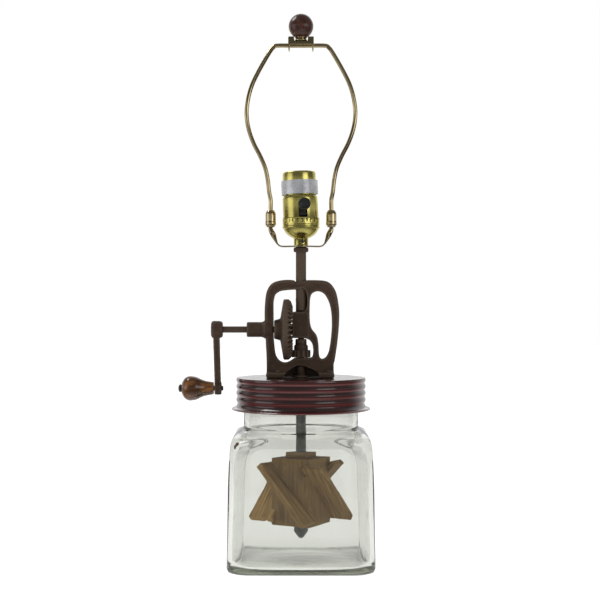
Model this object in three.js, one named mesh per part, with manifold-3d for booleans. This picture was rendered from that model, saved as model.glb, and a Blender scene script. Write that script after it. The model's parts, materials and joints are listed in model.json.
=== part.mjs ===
// A table lamp in the form of a hand-cranked glass butter churn.
// Millimetres, +Z up. The origin is the centre of the jar's flat base, the crank is on the -X side
// and the front of the lamp faces -Y.
import * as THREE from "three";
import { mergeVertices } from "three/addons/utils/BufferGeometryUtils.js";
import Module from "manifold-3d";

const wasm = await Module();
wasm.setup();

// ---- driving dimensions ---------------------------------------------------------------------

const GAP = 0.3; // left between pieces that touch on the real lamp
const RUNNING_GAP = 0.4; // radial clearance of a shaft in its faceted bore

const JAR_HALF = 71.2; // half the width across the flats, at the base
const JAR_SHOULDER_HALF = 68.8;
const JAR_CORNER_R = 14;
const JAR_WALL = 4;
const JAR_FLOOR = 9;
const JAR_BODY_TOP = 117; // the flat sides end here
const JAR_NECK_Z = 134.6; // the shoulder ends here
const JAR_NECK_R = 57.2;
const JAR_FINISH_R = 60.4;
const JAR_THREAD_R = 61.2;
const JAR_MOUTH_R = 52;
const JAR_RIM_Z = 180.3;

const LID_TOP = 184.6;
const LID_SHEET = 1;
const LID_BEAD_R = 64.4;
const LID_GROOVE_R = 63.2;
const LID_BEADS = 4;
const LID_BEAD_PITCH = 6.55;
const LID_RIM_R = 69.3;
const LID_BOTTOM = 152.6;
const GASKET_T = 2.4;

const FRAME_BASE = LID_TOP + GAP;
const FRAME_DEPTH = 14; // of the open casting, front to back
const CRANK_Z = 232.5; // height of the crank's axis
const FOOT_TOP = 190.4;
const FOOT_DEPTH = 38;
const PLINTH_TOP = 199;
const PLINTH_DEPTH = 20;
const FRAME_BOSS_END = -54.3; // outer end of the crank bearing
const FRAME_BOSS_R = 7.5;
const BLOCK_LEFT = -8.8; // bearing block between the gears
const SCREW_SPOTS = [[-22, -15], [28, -15], [-22, 15], [28, 15]];

const SHAFT_R = 3.15;
const SHAFT_END = 2;
const CRANK_HUB_X = [-89.8, -78.2];
const CRANK_HUB_R = 8.5;
const CRANK_THROW = 58.7; // crank axis to grip axis
const GRIP_PIN_R = 2.4;

const CROWN_TEETH = 36;
const CROWN_DISC_X = [-20.5, -11.3];
const CROWN_R = 30.3;
const CROWN_RIM_X = [-17.6, -14.4]; // the disc's back is a shallow cone, so the rim is thinner
const CROWN_TOOTH_R = [22.8, 28.2];
const CROWN_TOOTH_TIP_X = -8.1;
const PINION_TEETH = 12;
const PINION_ROOT_R = 7;
const PINION_TIP_R = 9.7;
const PINION_Z = [204.8, 212];
const PINION_HUB_TOP = 223;

const SPINDLE_R = 3;
const SPINDLE_TOP = 227;
const SPINDLE_BOTTOM = 150;
const ROD_R = 5;
const ROD_TOP = 178;
const ROD_TAIL_R = 4; // the turned-down end that carries the dasher
const DASHER_YAW = -30; // degrees, at rest
const HUB_HALF = 21.6;
const HUB_Z = [39, 106.4];
const CAP_Z = [106.7, 113.7];
const CAP_HALF = 11.4;
const BLADE_T = 6.2;
const BLADE_CENTRE_Z = 72;
const BLADE_LENGTH = 77;
const BLADE_PITCH = 44; // degrees from upright
const BLADE_OUTER = [44, 38]; // distance from the axis to the outer edge, bottom and top
const BLADE_SLOT = 5; // depth of the slot in the hub

const PIPE_R = 5.15;
const PIPE_BORE_R = 3.8;
const PIPE_Z = [251.5, 321];
const CHECK_RING_Z = [309.8, 314.5];
const SADDLE_Z = 314.8;

const HARP_LEG_X = 30.3;
const HARP_WIRE_R = 2;
const HARP_JOINT_Z = 342; // the saddle's post ends and the harp's leg starts
const FERRULE_Z = [334.7, 351.8];
const HARP_TOP_Z = 516.3; // centre line of the wire
const SWIVEL_Z = HARP_TOP_Z + HARP_WIRE_R + GAP;

const SOCKET_Z = 316.8; // bottom of the socket's neck
const SOCKET_LEAN = -2.5; // degrees, the upper shell sits slightly askew in its cap
const CAP_RIM_Z = 344;
const CAP_R = 18.6;
const SHELL_R = 17.7;
const SHELL_UPPER_R = 16.6;
const SHELL_STEP_Z = 366.5;
const SHELL_TOP_Z = 390.2;
const KNOB_Z = 356;
const KNOB_AZIMUTH = 8; // degrees, to the right of the front

const FINIAL_BALL_R = 12.4;
const FINIAL_BALL_Z = 535.6;

// ---- materials ------------------------------------------------------------------------------

function finish(color, roughness, metalness) {
  return () => new THREE.MeshStandardMaterial({ color, roughness, metalness });
}

const glass = finish(0xcfd8d2, 0.05, 0);
const paintedLid = finish(0x3a1512, 0.35, 0.3);
const rubber = finish(0x2a2624, 0.8, 0);
const castIron = finish(0x3e322a, 0.6, 0.5);
const steel = finish(0x55504a, 0.45, 0.8);
const brass = finish(0xc9a034, 0.2, 1);
const oldBrass = finish(0xa88a4a, 0.3, 1);
const lacqueredWood = finish(0x6a3312, 0.25, 0);
const darkWood = finish(0x3c1c12, 0.4, 0);
const plainWood = finish(0x7a6248, 0.75, 0);
const blackPlastic = finish(0x111111, 0.4, 0);
const card = finish(0xb9b4a6, 0.8, 0);
const aluminium = finish(0xb8b8b8, 0.35, 1);

// ---- geometry helpers -----------------------------------------------------------------------

function solidOf(geometry) {
  const bare = geometry.clone();
  bare.deleteAttribute("normal");
  bare.deleteAttribute("uv");
  const merged = mergeVertices(bare, 1e-4);
  return new wasm.Manifold(
    new wasm.Mesh({
      numProp: 3,
      vertProperties: merged.attributes.position.array,
      triVerts: new Uint32Array(merged.index.array),
    }),
  );
}

function geometryOf(solid) {
  const mesh = solid.getMesh();
  const geometry = new THREE.BufferGeometry();
  geometry.setAttribute("position", new THREE.BufferAttribute(mesh.vertProperties, 3));
  geometry.setIndex(new THREE.BufferAttribute(mesh.triVerts, 1));
  geometry.computeVertexNormals();
  return geometry;
}

function join(...pieces) {
  return geometryOf(pieces.map(solidOf).reduce((sum, piece) => sum.add(piece)));
}

function cut(body, ...tools) {
  return geometryOf(tools.map(solidOf).reduce((left, tool) => left.subtract(tool), solidOf(body)));
}

// A closed profile of [radius, height] points turned about +Z. One that touches the axis is
// turned as an open line from one pole to the other.
function lathe(profile, segments = 24) {
  const points = profile.map(([r, z]) => new THREE.Vector2(r, z));
  if (THREE.ShapeUtils.area(points) < 0) points.reverse();
  const onAxis = points.findIndex((p, i) => p.x === 0 && points.at(i - 1).x === 0);
  if (onAxis < 0) points.push(points[0].clone());
  else points.unshift(...points.splice(onAxis));
  return new THREE.LatheGeometry(points, segments).rotateX(Math.PI / 2);
}

function rod(radius, z0, z1, segments = 16) {
  return new THREE.CylinderGeometry(radius, radius, z1 - z0, segments)
    .rotateX(Math.PI / 2)
    .translate(0, 0, (z0 + z1) / 2);
}

function tube(radius, bore, z0, z1, segments = 24) {
  return lathe([[bore, z0], [radius, z0], [radius, z1], [bore, z1]], segments);
}

// Turns a shape made along +Z to lie along +X, or +Y.
function alongX(geometry) {
  return geometry.rotateY(Math.PI / 2);
}

function alongY(geometry) {
  return geometry.rotateX(-Math.PI / 2);
}

function box([x0, x1], [y0, y1], [z0, z1]) {
  return new THREE.BoxGeometry(x1 - x0, y1 - y0, z1 - z0).translate(
    (x0 + x1) / 2,
    (y0 + y1) / 2,
    (z0 + z1) / 2,
  );
}

function vectors(points) {
  return points.map(([x, y]) => new THREE.Vector2(x, y));
}

// A shape has to run counter-clockwise for its holes to be read the right way round.
function polygon(points) {
  const outline = vectors(points);
  if (THREE.ShapeUtils.area(outline) < 0) outline.reverse();
  return new THREE.Shape(outline);
}

// A closed smooth curve through the points.
function smoothLoop(points) {
  const loop = points.map(([x, z]) => new THREE.Vector3(x, z, 0));
  const curve = new THREE.CatmullRomCurve3(loop, true, "centripetal");
  const sampled = curve.getPoints(points.length).slice(0, -1);
  return sampled.map((p) => new THREE.Vector2(p.x, p.y));
}

// An outline in the XZ plane given a thickness along Y, from y0 to y1.
function slab(shape, y0, y1, bevel = 0) {
  const geometry = new THREE.ExtrudeGeometry(shape, {
    depth: y1 - y0 - 2 * bevel,
    bevelEnabled: bevel > 0,
    bevelThickness: bevel,
    bevelSize: bevel,
    bevelOffset: -bevel,
    bevelSegments: 1,
    curveSegments: 6,
  });
  return geometry.rotateX(Math.PI / 2).translate(0, y1 - bevel, 0);
}

function screwHeadSlot(z, halfLength) {
  return box([-halfLength, halfLength], [-0.4, 0.4], [z - 0.8, z + 1]);
}

const lamp = new THREE.Group();

function group(parent, z = 0) {
  const made = new THREE.Group();
  made.position.z = z;
  parent.add(made);
  return made;
}

function add(parent, name, geometry, material) {
  const mesh = new THREE.Mesh(geometry, material());
  mesh.name = name;
  parent.add(mesh);
  return mesh;
}

// ---- jar ------------------------------------------------------------------------------------

// Distance from the centre of a rounded square to its edge, over its half width.
function squareness(angle) {
  const a = Math.abs(((angle + Math.PI / 4 + 2 * Math.PI) % (Math.PI / 2)) - Math.PI / 4);
  const inner = JAR_HALF - JAR_CORNER_R;
  const flatEnd = Math.atan2(inner, JAR_HALF);
  if (a <= flatEnd) return 1 / Math.cos(a);
  const along = inner * (Math.cos(a) + Math.sin(a));
  return (along + Math.sqrt(along * along - 2 * inner * inner + JAR_CORNER_R ** 2)) / JAR_HALF;
}

function jarGeometry() {
  const wallIn = JAR_SHOULDER_HALF - JAR_WALL;
  const foot = [[0, 0], [64.5, 0], [69.8, 2], [JAR_HALF, 6.5]];
  const shoulder = [[JAR_SHOULDER_HALF, JAR_BODY_TOP], [67.8, 123.5], [66, 128.6], [62.3, 132.4]];
  const finish = [
    [JAR_NECK_R, JAR_NECK_Z], [JAR_NECK_R, 154], [JAR_FINISH_R, 157], [JAR_THREAD_R, 166],
    [JAR_FINISH_R, 170], [JAR_FINISH_R, JAR_RIM_Z], [JAR_MOUTH_R, JAR_RIM_Z], [JAR_MOUTH_R, 133],
  ];
  const inside = [
    [55.5, 129.8], [60.4, 126.6], [63.6, 121.6], [wallIn, JAR_BODY_TOP - 3],
    [JAR_HALF - JAR_WALL, 14], [60.5, JAR_FLOOR], [0, JAR_FLOOR],
  ];
  const profile = [...foot, ...shoulder, ...finish, ...inside];
  const geometry = lathe(profile, 32);
  const position = geometry.attributes.position;
  for (let i = 0; i < position.count; i += 1) {
    const x = position.getX(i);
    const y = position.getY(i);
    const round = THREE.MathUtils.smoothstep(position.getZ(i), JAR_BODY_TOP, JAR_NECK_Z);
    const scale = THREE.MathUtils.lerp(squareness(Math.atan2(y, x)), 1, round);
    position.setXY(i, x * scale, y * scale);
  }
  return geometryOf(solidOf(geometry));
}

add(lamp, "jar", jarGeometry(), glass);

// ---- lid ------------------------------------------------------------------------------------

const head = group(lamp);

// The sheet's outer face from the rim of the top down to the rolled lower edge.
function lidSide(inset) {
  const points = [];
  for (let i = 0; i < LID_BEADS; i += 1) {
    const z = LID_TOP - 1.9 - i * LID_BEAD_PITCH;
    points.push([LID_BEAD_R - inset, z]);
    points.push([LID_GROOVE_R - inset, z - LID_BEAD_PITCH / 2]);
  }
  points.push([LID_RIM_R - inset, LID_BOTTOM + 3]);
  points.push([LID_RIM_R - inset, LID_BOTTOM]);
  return points;
}

function lidGeometry() {
  const under = LID_TOP - LID_SHEET;
  const profile = [[0, LID_TOP], [62.8, LID_TOP], ...lidSide(0), ...lidSide(LID_SHEET).reverse()];
  const shell = lathe([...profile, [61.8, under], [0, under]], 32);
  const holes = SCREW_SPOTS.map(([x, y]) => rod(2.3, under - 1, LID_TOP + 1, 12).translate(x, y, 0));
  return cut(shell, rod(5.9, under - 1, LID_TOP + 1, 20), ...holes);
}

add(head, "lid", lidGeometry(), paintedLid);
const gasketTop = LID_TOP - LID_SHEET - 0.5;
add(head, "lid_gasket", tube(59.6, JAR_MOUTH_R + 1, gasketTop - GASKET_T, gasketTop, 32), rubber);

function bushGeometry() {
  const bore = SPINDLE_R + RUNNING_GAP;
  const flange = [[8, FRAME_BASE], [8, FRAME_BASE + 1.8], [4.1, FRAME_BASE + 1.8]];
  return lathe([
    [bore, 181.4], [5.5, 181.4], [5.5, FRAME_BASE], ...flange, [4.1, 195.4], [bore, 195.4],
  ], 20);
}

add(head, "spindle_bush", bushGeometry(), castIron);

// ---- gear frame -----------------------------------------------------------------------------

// The casting's outer edge, clockwise from the foot on the crank side.
const FRAME_OUTLINE = [
  [-34.2, FRAME_BASE], [-34.4, 204], [-35.2, 222], [-36.3, 244], [-35.9, 259], [-34.2, 270.5],
  [-29.6, 278], [-23, 281], [-15, 282.1], [-6.9, 281.7], [-5.1, 280], [4.1, 281.7], [18.7, 281.7],
  [26.5, 280.3], [31.5, 276], [35.4, 268.5], [37.8, 255], [38.2, 244], [37, 226], [34.1, 204],
  [32.4, 197.4], [32.7, FRAME_BASE],
];

// The opening around both gears: up the post, along the top, down past the pipe and the block.
const GEAR_WINDOW = [
  [-27.3, 224], [-27.5, 260], [-26, 267.5], [-21, 271], [-13, 272], [-6.2, 272], [-5.1, 270.5],
  [-5.1, 251.2], [BLOCK_LEFT + 1.6, 250.2], [BLOCK_LEFT, 248.6], [BLOCK_LEFT, 225.6],
  [BLOCK_LEFT + 1.6, 224.1], [5, 223.8], [9, 222], [11.6, 218], [12.4, 211], [11.6, 205.6],
  [10, 204.3], [-6.4, 204.3], [-9.2, 202.2], [-13, 200], [-17.5, 199.4], [-22, 201.8],
  [-25.2, 206.5], [-26.4, 214],
];

const HAND_WINDOW = [
  [20.6, 203.2], [24.6, 204.7], [27.5, 209.8], [29.4, 218.6], [30.8, 233.3], [30.8, 244.3],
  [29.7, 253.8], [27.5, 261.2], [23.9, 267.4], [20.2, 270], [16.5, 270.7], [12.1, 269.3],
  [9.6, 265.6], [8.8, 258], [8.8, 242], [10.7, 233.3], [15.5, 227], [17.3, 218.6], [18.2, 206.5],
];

const FOOT_ARCH = [
  [-17, FRAME_BASE - 1], [-17, 187.8], [-14.3, 190.4], [-9.1, 194.4], [-3.3, 197], [1.1, 197],
  [5.5, 195.9], [15.8, 191.1], [18, 187.8], [18, FRAME_BASE - 1],
];

const PIPE_POCKET = [
  [-6.5, 251], [3, 251], [5.6, 254.5], [6.2, 262], [5.6, 269.5], [3, 273.5], [-6.5, 273.5],
];

function gearFrameGeometry() {
  const outline = polygon(FRAME_OUTLINE);
  outline.holes.push(new THREE.Path(vectors(GEAR_WINDOW)));
  outline.holes.push(new THREE.Path(smoothLoop(HAND_WINDOW)));
  const half = FRAME_DEPTH / 2;
  const halfPlinth = PLINTH_DEPTH / 2;
  const halfFoot = FOOT_DEPTH / 2;
  const casting = slab(outline, -half, half, 1);
  const column = box([-5.1, 8.5], [half - 2, half + 2.5], [248, 276]);
  const plinth = box([-34.2, 32.6], [-halfPlinth, halfPlinth], [FRAME_BASE, PLINTH_TOP]);
  const foot = box([-34.6, 33], [-halfFoot, halfFoot], [FRAME_BASE, FOOT_TOP]);
  const boss = alongX(rod(FRAME_BOSS_R, FRAME_BOSS_END, -31, 20)).translate(0, 0, CRANK_Z);
  const body = join(casting, column, plinth, foot, boss);

  const gearWindow = slab(polygon(GEAR_WINDOW), -halfPlinth - 1, halfPlinth + 1);
  const arch = slab(polygon(FOOT_ARCH), -halfFoot - 1, 9);
  const pocket = slab(polygon(PIPE_POCKET), -half - 1, half - 0.6);
  const shaftR = SHAFT_R + RUNNING_GAP;
  const outerBore = alongX(rod(shaftR, FRAME_BOSS_END - 1, -26)).translate(0, 0, CRANK_Z);
  const innerBore = alongX(rod(shaftR, BLOCK_LEFT - 1, SHAFT_END + 0.5)).translate(0, 0, CRANK_Z);
  const spindleR = SPINDLE_R + RUNNING_GAP;
  const lowerBore = rod(spindleR, 190, 206);
  const upperBore = rod(spindleR, 220, SPINDLE_TOP + 0.4);
  const pipeBore = rod(PIPE_R + RUNNING_GAP, PIPE_Z[0] - GAP, 290, 20);
  const cordHole = alongY(rod(3.5, 4, 14)).translate(0, 0, 262);
  const screwHoles = SCREW_SPOTS.map(([x, y]) => rod(2.3, 184, 192, 12).translate(x, y, 0));
  return cut(
    body, gearWindow, arch, pocket, outerBore, innerBore, lowerBore, upperBore, pipeBore, cordHole,
    ...screwHoles,
  );
}

add(head, "gear_frame", gearFrameGeometry(), castIron);

function frameScrewGeometry() {
  const top = FOOT_TOP + GAP;
  const profile = [[0, 178.6], [1.9, 178.6], [1.9, top], [3, top], [2.8, top + 1.6], [0, top + 2]];
  return cut(lathe(profile, 12), screwHeadSlot(top + 2, 4));
}

function frameNutGeometry() {
  const top = LID_TOP - LID_SHEET - GAP;
  return cut(rod(3.6, top - 2.6, top, 6), rod(2.3, top - 4, top + 1, 12));
}

SCREW_SPOTS.forEach(([x, y], i) => {
  const spot = group(head);
  spot.position.set(x, y, 0);
  add(spot, "frame_screw_" + (i + 1), frameScrewGeometry(), steel);
  add(spot, "frame_nut_" + (i + 1), frameNutGeometry(), steel);
});

// ---- crank and grip -------------------------------------------------------------------------

const crank = group(lamp, CRANK_Z);
const GEAR_PIN_X = -24;

function crankShaftGeometry() {
  const shaft = alongX(rod(SHAFT_R, CRANK_HUB_X[0] + 0.2, SHAFT_END));
  return cut(shaft, rod(1.5, -9, 9, 12).translate(GEAR_PIN_X, 0, 0));
}

// One radial tooth on the crown gear's face, tapering towards its tip and towards the axis.
function crownTooth() {
  const [inner, outer] = CROWN_TOOTH_R;
  const height = CROWN_TOOTH_TIP_X - CROWN_DISC_X[1] + 0.5;
  const root = [[inner, -0.78], [outer, -0.95], [outer, 0.95], [inner, 0.78]];
  const geometry = new THREE.ExtrudeGeometry(polygon(root), { depth: height, bevelEnabled: false });
  const position = geometry.attributes.position;
  for (let i = 0; i < position.count; i += 1) {
    const narrow = position.getZ(i) > height / 2 ? 0.5 : 1;
    position.setY(i, position.getY(i) * narrow);
  }
  // Height along +Z becomes +X, and the radius points along -Z, to the pinion.
  return geometry.rotateY(Math.PI / 2).translate(CROWN_DISC_X[1] - 0.5, 0, 0);
}

function crownGearGeometry() {
  const [back, face] = CROWN_DISC_X;
  const [rimBack, rimFace] = CROWN_RIM_X;
  const hub = [[0, -26.8], [9.3, -26.8], [11, back]];
  const rim = [
    [CROWN_R - 0.6, rimBack], [CROWN_R, rimBack + 0.8], [CROWN_R, rimFace],
    [CROWN_TOOTH_R[1] + 0.3, face],
  ];
  const dish = [[CROWN_TOOTH_R[0] - 1.5, face], [19, face - 2], [7, face - 2]];
  const nose = [[5, face], [5, BLOCK_LEFT - GAP], [0, BLOCK_LEFT - GAP]];
  const disc = alongX(lathe([...hub, ...rim, ...dish, ...nose], 36));
  const teeth = [];
  for (let i = 0; i < CROWN_TEETH; i += 1) {
    teeth.push(crownTooth().rotateX((i * 2 * Math.PI) / CROWN_TEETH));
  }
  const bore = alongX(rod(SHAFT_R + RUNNING_GAP, -30, 0));
  const pinHole = rod(1.5, -12, 12, 12).translate(GEAR_PIN_X, 0, 0);
  return cut(join(disc, ...teeth), bore, pinHole);
}

function crankArmGeometry() {
  const length = CRANK_THROW;
  const outline = new THREE.Shape();
  outline.moveTo(5.5, 0);
  outline.lineTo(4.5, -length);
  outline.lineTo(-4.5, -length);
  outline.lineTo(-5.5, 0);
  outline.closePath();
  const arm = slab(outline, -3, 3, 0.8).rotateZ(Math.PI / 2);
  const lean = new THREE.Matrix4().set(1, 0, -1.9 / length, -84.6, 0, 1, 0, 0, 0, 0, 1, 0, 0, 0, 0, 1);
  arm.applyMatrix4(lean);
  const [hub0, hub1] = CRANK_HUB_X;
  const hubProfile = [[0, hub0], [7, hub0], [CRANK_HUB_R, hub0 + 2], [CRANK_HUB_R, hub1 - 2],
    [7.2, hub1], [0, hub1]];
  const eye = alongX(rod(6.5, -86.4, -79.4, 16)).translate(0, 0, -length);
  const body = join(arm, alongX(lathe(hubProfile, 20)), eye);
  const shaftBore = alongX(rod(SHAFT_R + RUNNING_GAP, -95, -70));
  const pinBore = alongX(rod(GRIP_PIN_R + RUNNING_GAP, -95, -70)).translate(0, 0, -length);
  return cut(body, shaftBore, pinBore);
}

add(crank, "crank_shaft", crankShaftGeometry(), steel);
add(crank, "crown_gear", crownGearGeometry(), castIron);
add(crank, "gear_pin", rod(1.2, -9.3, 9.3, 12).translate(GEAR_PIN_X, 0, 0), steel);
add(crank, "crank_arm", crankArmGeometry(), castIron);

const grip = group(crank, -CRANK_THROW);
const PIN_PROFILE = [
  [0, -122.6], [3, -122.3], [3.9, -121.2], [3.9, -119.8], [GRIP_PIN_R, -119.8],
  [GRIP_PIN_R, -77.7], [0, -77.7],
];
const GRIP_BORE_R = GRIP_PIN_R + RUNNING_GAP;
const GRIP_PROFILE = [
  [GRIP_BORE_R, -119.4], [5, -119.2], [7.6, -118], [10.4, -116], [12.1, -112.6], [12.4, -110.3],
  [11.6, -105], [8.9, -99], [7.1, -93], [6.2, -87.1], [GRIP_BORE_R, -87.1],
];
add(grip, "grip_pin", alongX(lathe(PIN_PROFILE, 12)), steel);
add(grip, "handle_grip", alongX(lathe(GRIP_PROFILE, 16)), lacqueredWood);

// ---- spindle, pinion and dasher -------------------------------------------------------------

const dasher = group(lamp);
const PINION_PIN_Z = 220;
const COUPLING_PIN_Z = 164;

function pinionTooth() {
  const outline = polygon([
    [PINION_ROOT_R - 1.5, -1.3], [PINION_ROOT_R, -1.2], [PINION_TIP_R, -0.45],
    [PINION_TIP_R, 0.45], [PINION_ROOT_R, 1.2], [PINION_ROOT_R - 1.5, 1.3],
  ]);
  const depth = PINION_Z[1] - PINION_Z[0];
  return new THREE.ExtrudeGeometry(outline, { depth, bevelEnabled: false }).translate(0, 0, PINION_Z[0]);
}

function pinionGeometry() {
  const [low, high] = PINION_Z;
  const hub = lathe([
    [0, low], [PINION_ROOT_R, low], [PINION_ROOT_R, high + 1], [7, high + 1], [7, 216.5],
    [5.6, 217.5], [5.6, PINION_HUB_TOP], [0, PINION_HUB_TOP],
  ], 24);
  const teeth = [];
  for (let i = 0; i < PINION_TEETH; i += 1) {
    // A gap, not a tooth, faces the crown gear at rest.
    teeth.push(pinionTooth().rotateZ(((i + 0.5) * 2 * Math.PI) / PINION_TEETH));
  }
  const bore = rod(SPINDLE_R + RUNNING_GAP, low - 1, PINION_HUB_TOP + 1);
  const pinHole = alongY(rod(1.3, -10, 10, 12)).translate(0, 0, PINION_PIN_Z);
  return cut(join(hub, ...teeth), bore, pinHole);
}

function spindleGeometry() {
  const pinionHole = alongY(rod(1.3, -10, 10, 12)).translate(0, 0, PINION_PIN_Z);
  const couplingHole = alongY(rod(1.5, -10, 10, 12)).translate(0, 0, COUPLING_PIN_Z);
  return cut(rod(SPINDLE_R, SPINDLE_BOTTOM, SPINDLE_TOP), pinionHole, couplingHole);
}

function dasherRodGeometry() {
  const shoulder = CAP_Z[1] + GAP;
  const rodBody = lathe([
    [0, 30.5], [ROD_TAIL_R, 30.5], [ROD_TAIL_R, shoulder], [ROD_R, shoulder], [ROD_R, ROD_TOP],
    [0, ROD_TOP],
  ], 16);
  const socket = rod(SPINDLE_R + RUNNING_GAP, SPINDLE_BOTTOM - 0.5, ROD_TOP + 1);
  const couplingHole = alongY(rod(1.5, -10, 10, 12)).translate(0, 0, COUPLING_PIN_Z);
  return cut(rodBody, socket, couplingHole);
}

// A flat blade in the frame of the +X face, its lower end towards +Y and its upper towards -Y.
function bladePlate(inner, outer, halfLength, thickness) {
  const outline = polygon([
    [inner, -halfLength], [outer[0], -halfLength], [outer[1], halfLength], [inner, halfLength],
  ]);
  return slab(outline, -thickness / 2, thickness / 2)
    .rotateX((BLADE_PITCH * Math.PI) / 180)
    .translate(0, 0, BLADE_CENTRE_Z);
}

function dasherHubGeometry() {
  const hub = box([-HUB_HALF, HUB_HALF], [-HUB_HALF, HUB_HALF], HUB_Z);
  const bore = rod(ROD_TAIL_R + GAP + 0.1, HUB_Z[0] - 1, HUB_Z[1] + 1);
  const inner = HUB_HALF - BLADE_SLOT;
  const slots = [0, 1, 2, 3].map((i) =>
    bladePlate(inner, [HUB_HALF + 9, HUB_HALF + 9], BLADE_LENGTH / 2 + 6, BLADE_T + 2 * GAP)
      .rotateZ((i * Math.PI) / 2),
  );
  return cut(hub, bore, ...slots);
}

function dasherNutGeometry() {
  const top = HUB_Z[0] - GAP;
  const bore = ROD_TAIL_R + GAP + 0.1;
  return lathe([
    [0, 24.5], [2.4, 25], [5.8, 29.4], [7, 32], [7, top], [bore, top], [bore, 30], [0, 30],
  ], 12);
}

add(dasher, "spindle", spindleGeometry(), steel);
add(dasher, "pinion", pinionGeometry(), castIron);
add(dasher, "pinion_pin", alongY(rod(1, -5.4, 5.4, 12)).translate(0, 0, PINION_PIN_Z), steel);
add(dasher, "dasher_rod", dasherRodGeometry(), steel);
add(dasher, "coupling_pin", alongY(rod(1.2, -6, 6, 12)).translate(0, 0, COUPLING_PIN_Z), steel);

const beater = group(dasher);
beater.rotation.z = (DASHER_YAW * Math.PI) / 180;
const capBlock = box([-CAP_HALF, CAP_HALF], [-CAP_HALF, CAP_HALF], CAP_Z);
const capBore = rod(ROD_TAIL_R + GAP + 0.1, CAP_Z[0] - 1, CAP_Z[1] + 1);
add(beater, "dasher_cap", cut(capBlock, capBore), plainWood);
add(beater, "dasher_hub", dasherHubGeometry(), plainWood);
for (let i = 0; i < 4; i += 1) {
  const inner = HUB_HALF - BLADE_SLOT + GAP;
  const blade = add(
    beater, "dasher_blade_" + (i + 1), bladePlate(inner, BLADE_OUTER, BLADE_LENGTH / 2, BLADE_T),
    plainWood,
  );
  blade.rotation.z = (i * Math.PI) / 2;
}
add(beater, "dasher_nut", dasherNutGeometry(), steel);

// ---- pipe and cord outlet -------------------------------------------------------------------

function pipeGeometry() {
  const sideHole = alongY(rod(2.4, 0, 8, 12)).translate(0, 0, 262);
  return cut(tube(PIPE_R, PIPE_BORE_R, PIPE_Z[0], PIPE_Z[1], 16), sideHole);
}

function cordBushingGeometry() {
  return alongY(lathe([
    [2.1, 5.8], [3.1, 5.8], [3.1, 9.8], [5.4, 9.8], [5.4, 11.2], [4.2, 12.4], [2.1, 12.4],
  ], 12)).translate(0, 0, 262);
}

function checkRingGeometry() {
  const [low, high] = CHECK_RING_Z;
  const bore = PIPE_R + GAP + 0.05;
  const outer = [[6.6, low], [7.45, low + 1], [7.45, high - 1], [6.6, high]];
  return lathe([[bore, low], ...outer, [bore, high]], 20);
}

add(head, "lamp_pipe", pipeGeometry(), castIron);
add(head, "cord_bushing", cordBushingGeometry(), blackPlastic);
add(head, "check_ring", checkRingGeometry(), castIron);

// ---- harp -----------------------------------------------------------------------------------

function saddleGeometry() {
  const right = [
    [0, SADDLE_Z], [20, SADDLE_Z], [24.5, SADDLE_Z + 4.6], [28.6, 325], [32.9, 333.2], [32.9, 334.4],
    [27.7, 334.4], [25.2, 327.5], [22.6, 321.6], [19, SADDLE_Z + 1.6],
  ];
  const left = right.slice(1).reverse().map(([x, z]) => [-x, z]);
  const strap = slab(polygon([...right, ...left]), -4.2, 4.2);
  const post = rod(HARP_WIRE_R, 333, HARP_JOINT_Z, 8);
  const posts = [post.clone().translate(-HARP_LEG_X, 0, 0), post.translate(HARP_LEG_X, 0, 0)];
  const seat = rod(9, SADDLE_Z, SADDLE_Z + 1.6, 24);
  return cut(join(strap, seat, ...posts), rod(PIPE_R + GAP + 0.05, SADDLE_Z - 1, SADDLE_Z + 3, 20));
}

// Half of the harp's centre line, from the leg's foot to the top bend, as [x, z].
const HARP_HALF = [
  [HARP_LEG_X, HARP_JOINT_Z + 0.6], [HARP_LEG_X, 362], [31.8, 370], [33.2, 382], [35.8, 394],
  [40.8, 406], [47, 418], [51.5, 430], [54, 442], [54.2, 453], [52.2, 466], [48.5, 478],
  [42.7, 490], [36, 502], [30.6, 511], [24, HARP_TOP_Z],
];

function wireGeometry() {
  const right = HARP_HALF.map(([x, z]) => new THREE.Vector3(x, 0, z));
  const left = HARP_HALF.map(([x, z]) => new THREE.Vector3(-x, 0, z)).reverse();
  const top = [new THREE.Vector3(12, 0, HARP_TOP_Z), new THREE.Vector3(-12, 0, HARP_TOP_Z)];
  const path = new THREE.CatmullRomCurve3([...right, ...top, ...left], false, "centripetal");
  const section = new THREE.Shape();
  section.absarc(0, 0, HARP_WIRE_R, 0, 2 * Math.PI);
  return new THREE.ExtrudeGeometry(section, { steps: 52, curveSegments: 4, extrudePath: path });
}

function ferruleGeometry() {
  const [low, high] = FERRULE_Z;
  const bore = HARP_WIRE_R + GAP + 0.2;
  return lathe([
    [bore, low], [4.4, low], [5.4, low + 1.4], [5.4, low + 4], [5.1, low + 6], [5.1, high - 2.5],
    [3.6, high], [bore, high],
  ], 16);
}

function swivelGeometry() {
  const top = SWIVEL_Z + 1.6;
  const plate = box([-12.9, 12.9], [-6, 6], [511, top]);
  const ear = box([6.8, 12.9], [-6, 6], [SWIVEL_Z, 524.4]);
  const stud = rod(2.9, SWIVEL_Z, 531.5, 12);
  const body = join(plate, ear, ear.clone().translate(-19.7, 0, 0), stud);
  const wireRoom = HARP_WIRE_R + GAP;
  const wireSlot = box([-14, 14], [-wireRoom, wireRoom], [505, SWIVEL_Z]);
  const earRoom = [13, -13].map((x) => box([x - 5.1, x + 5.1], [-4.9, 4.9], [SWIVEL_Z + 1.6, 526]));
  const midRelief = box([-8, 8], [-7, 7], [505, 513.5]);
  return cut(body, wireSlot, midRelief, ...earRoom);
}

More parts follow.
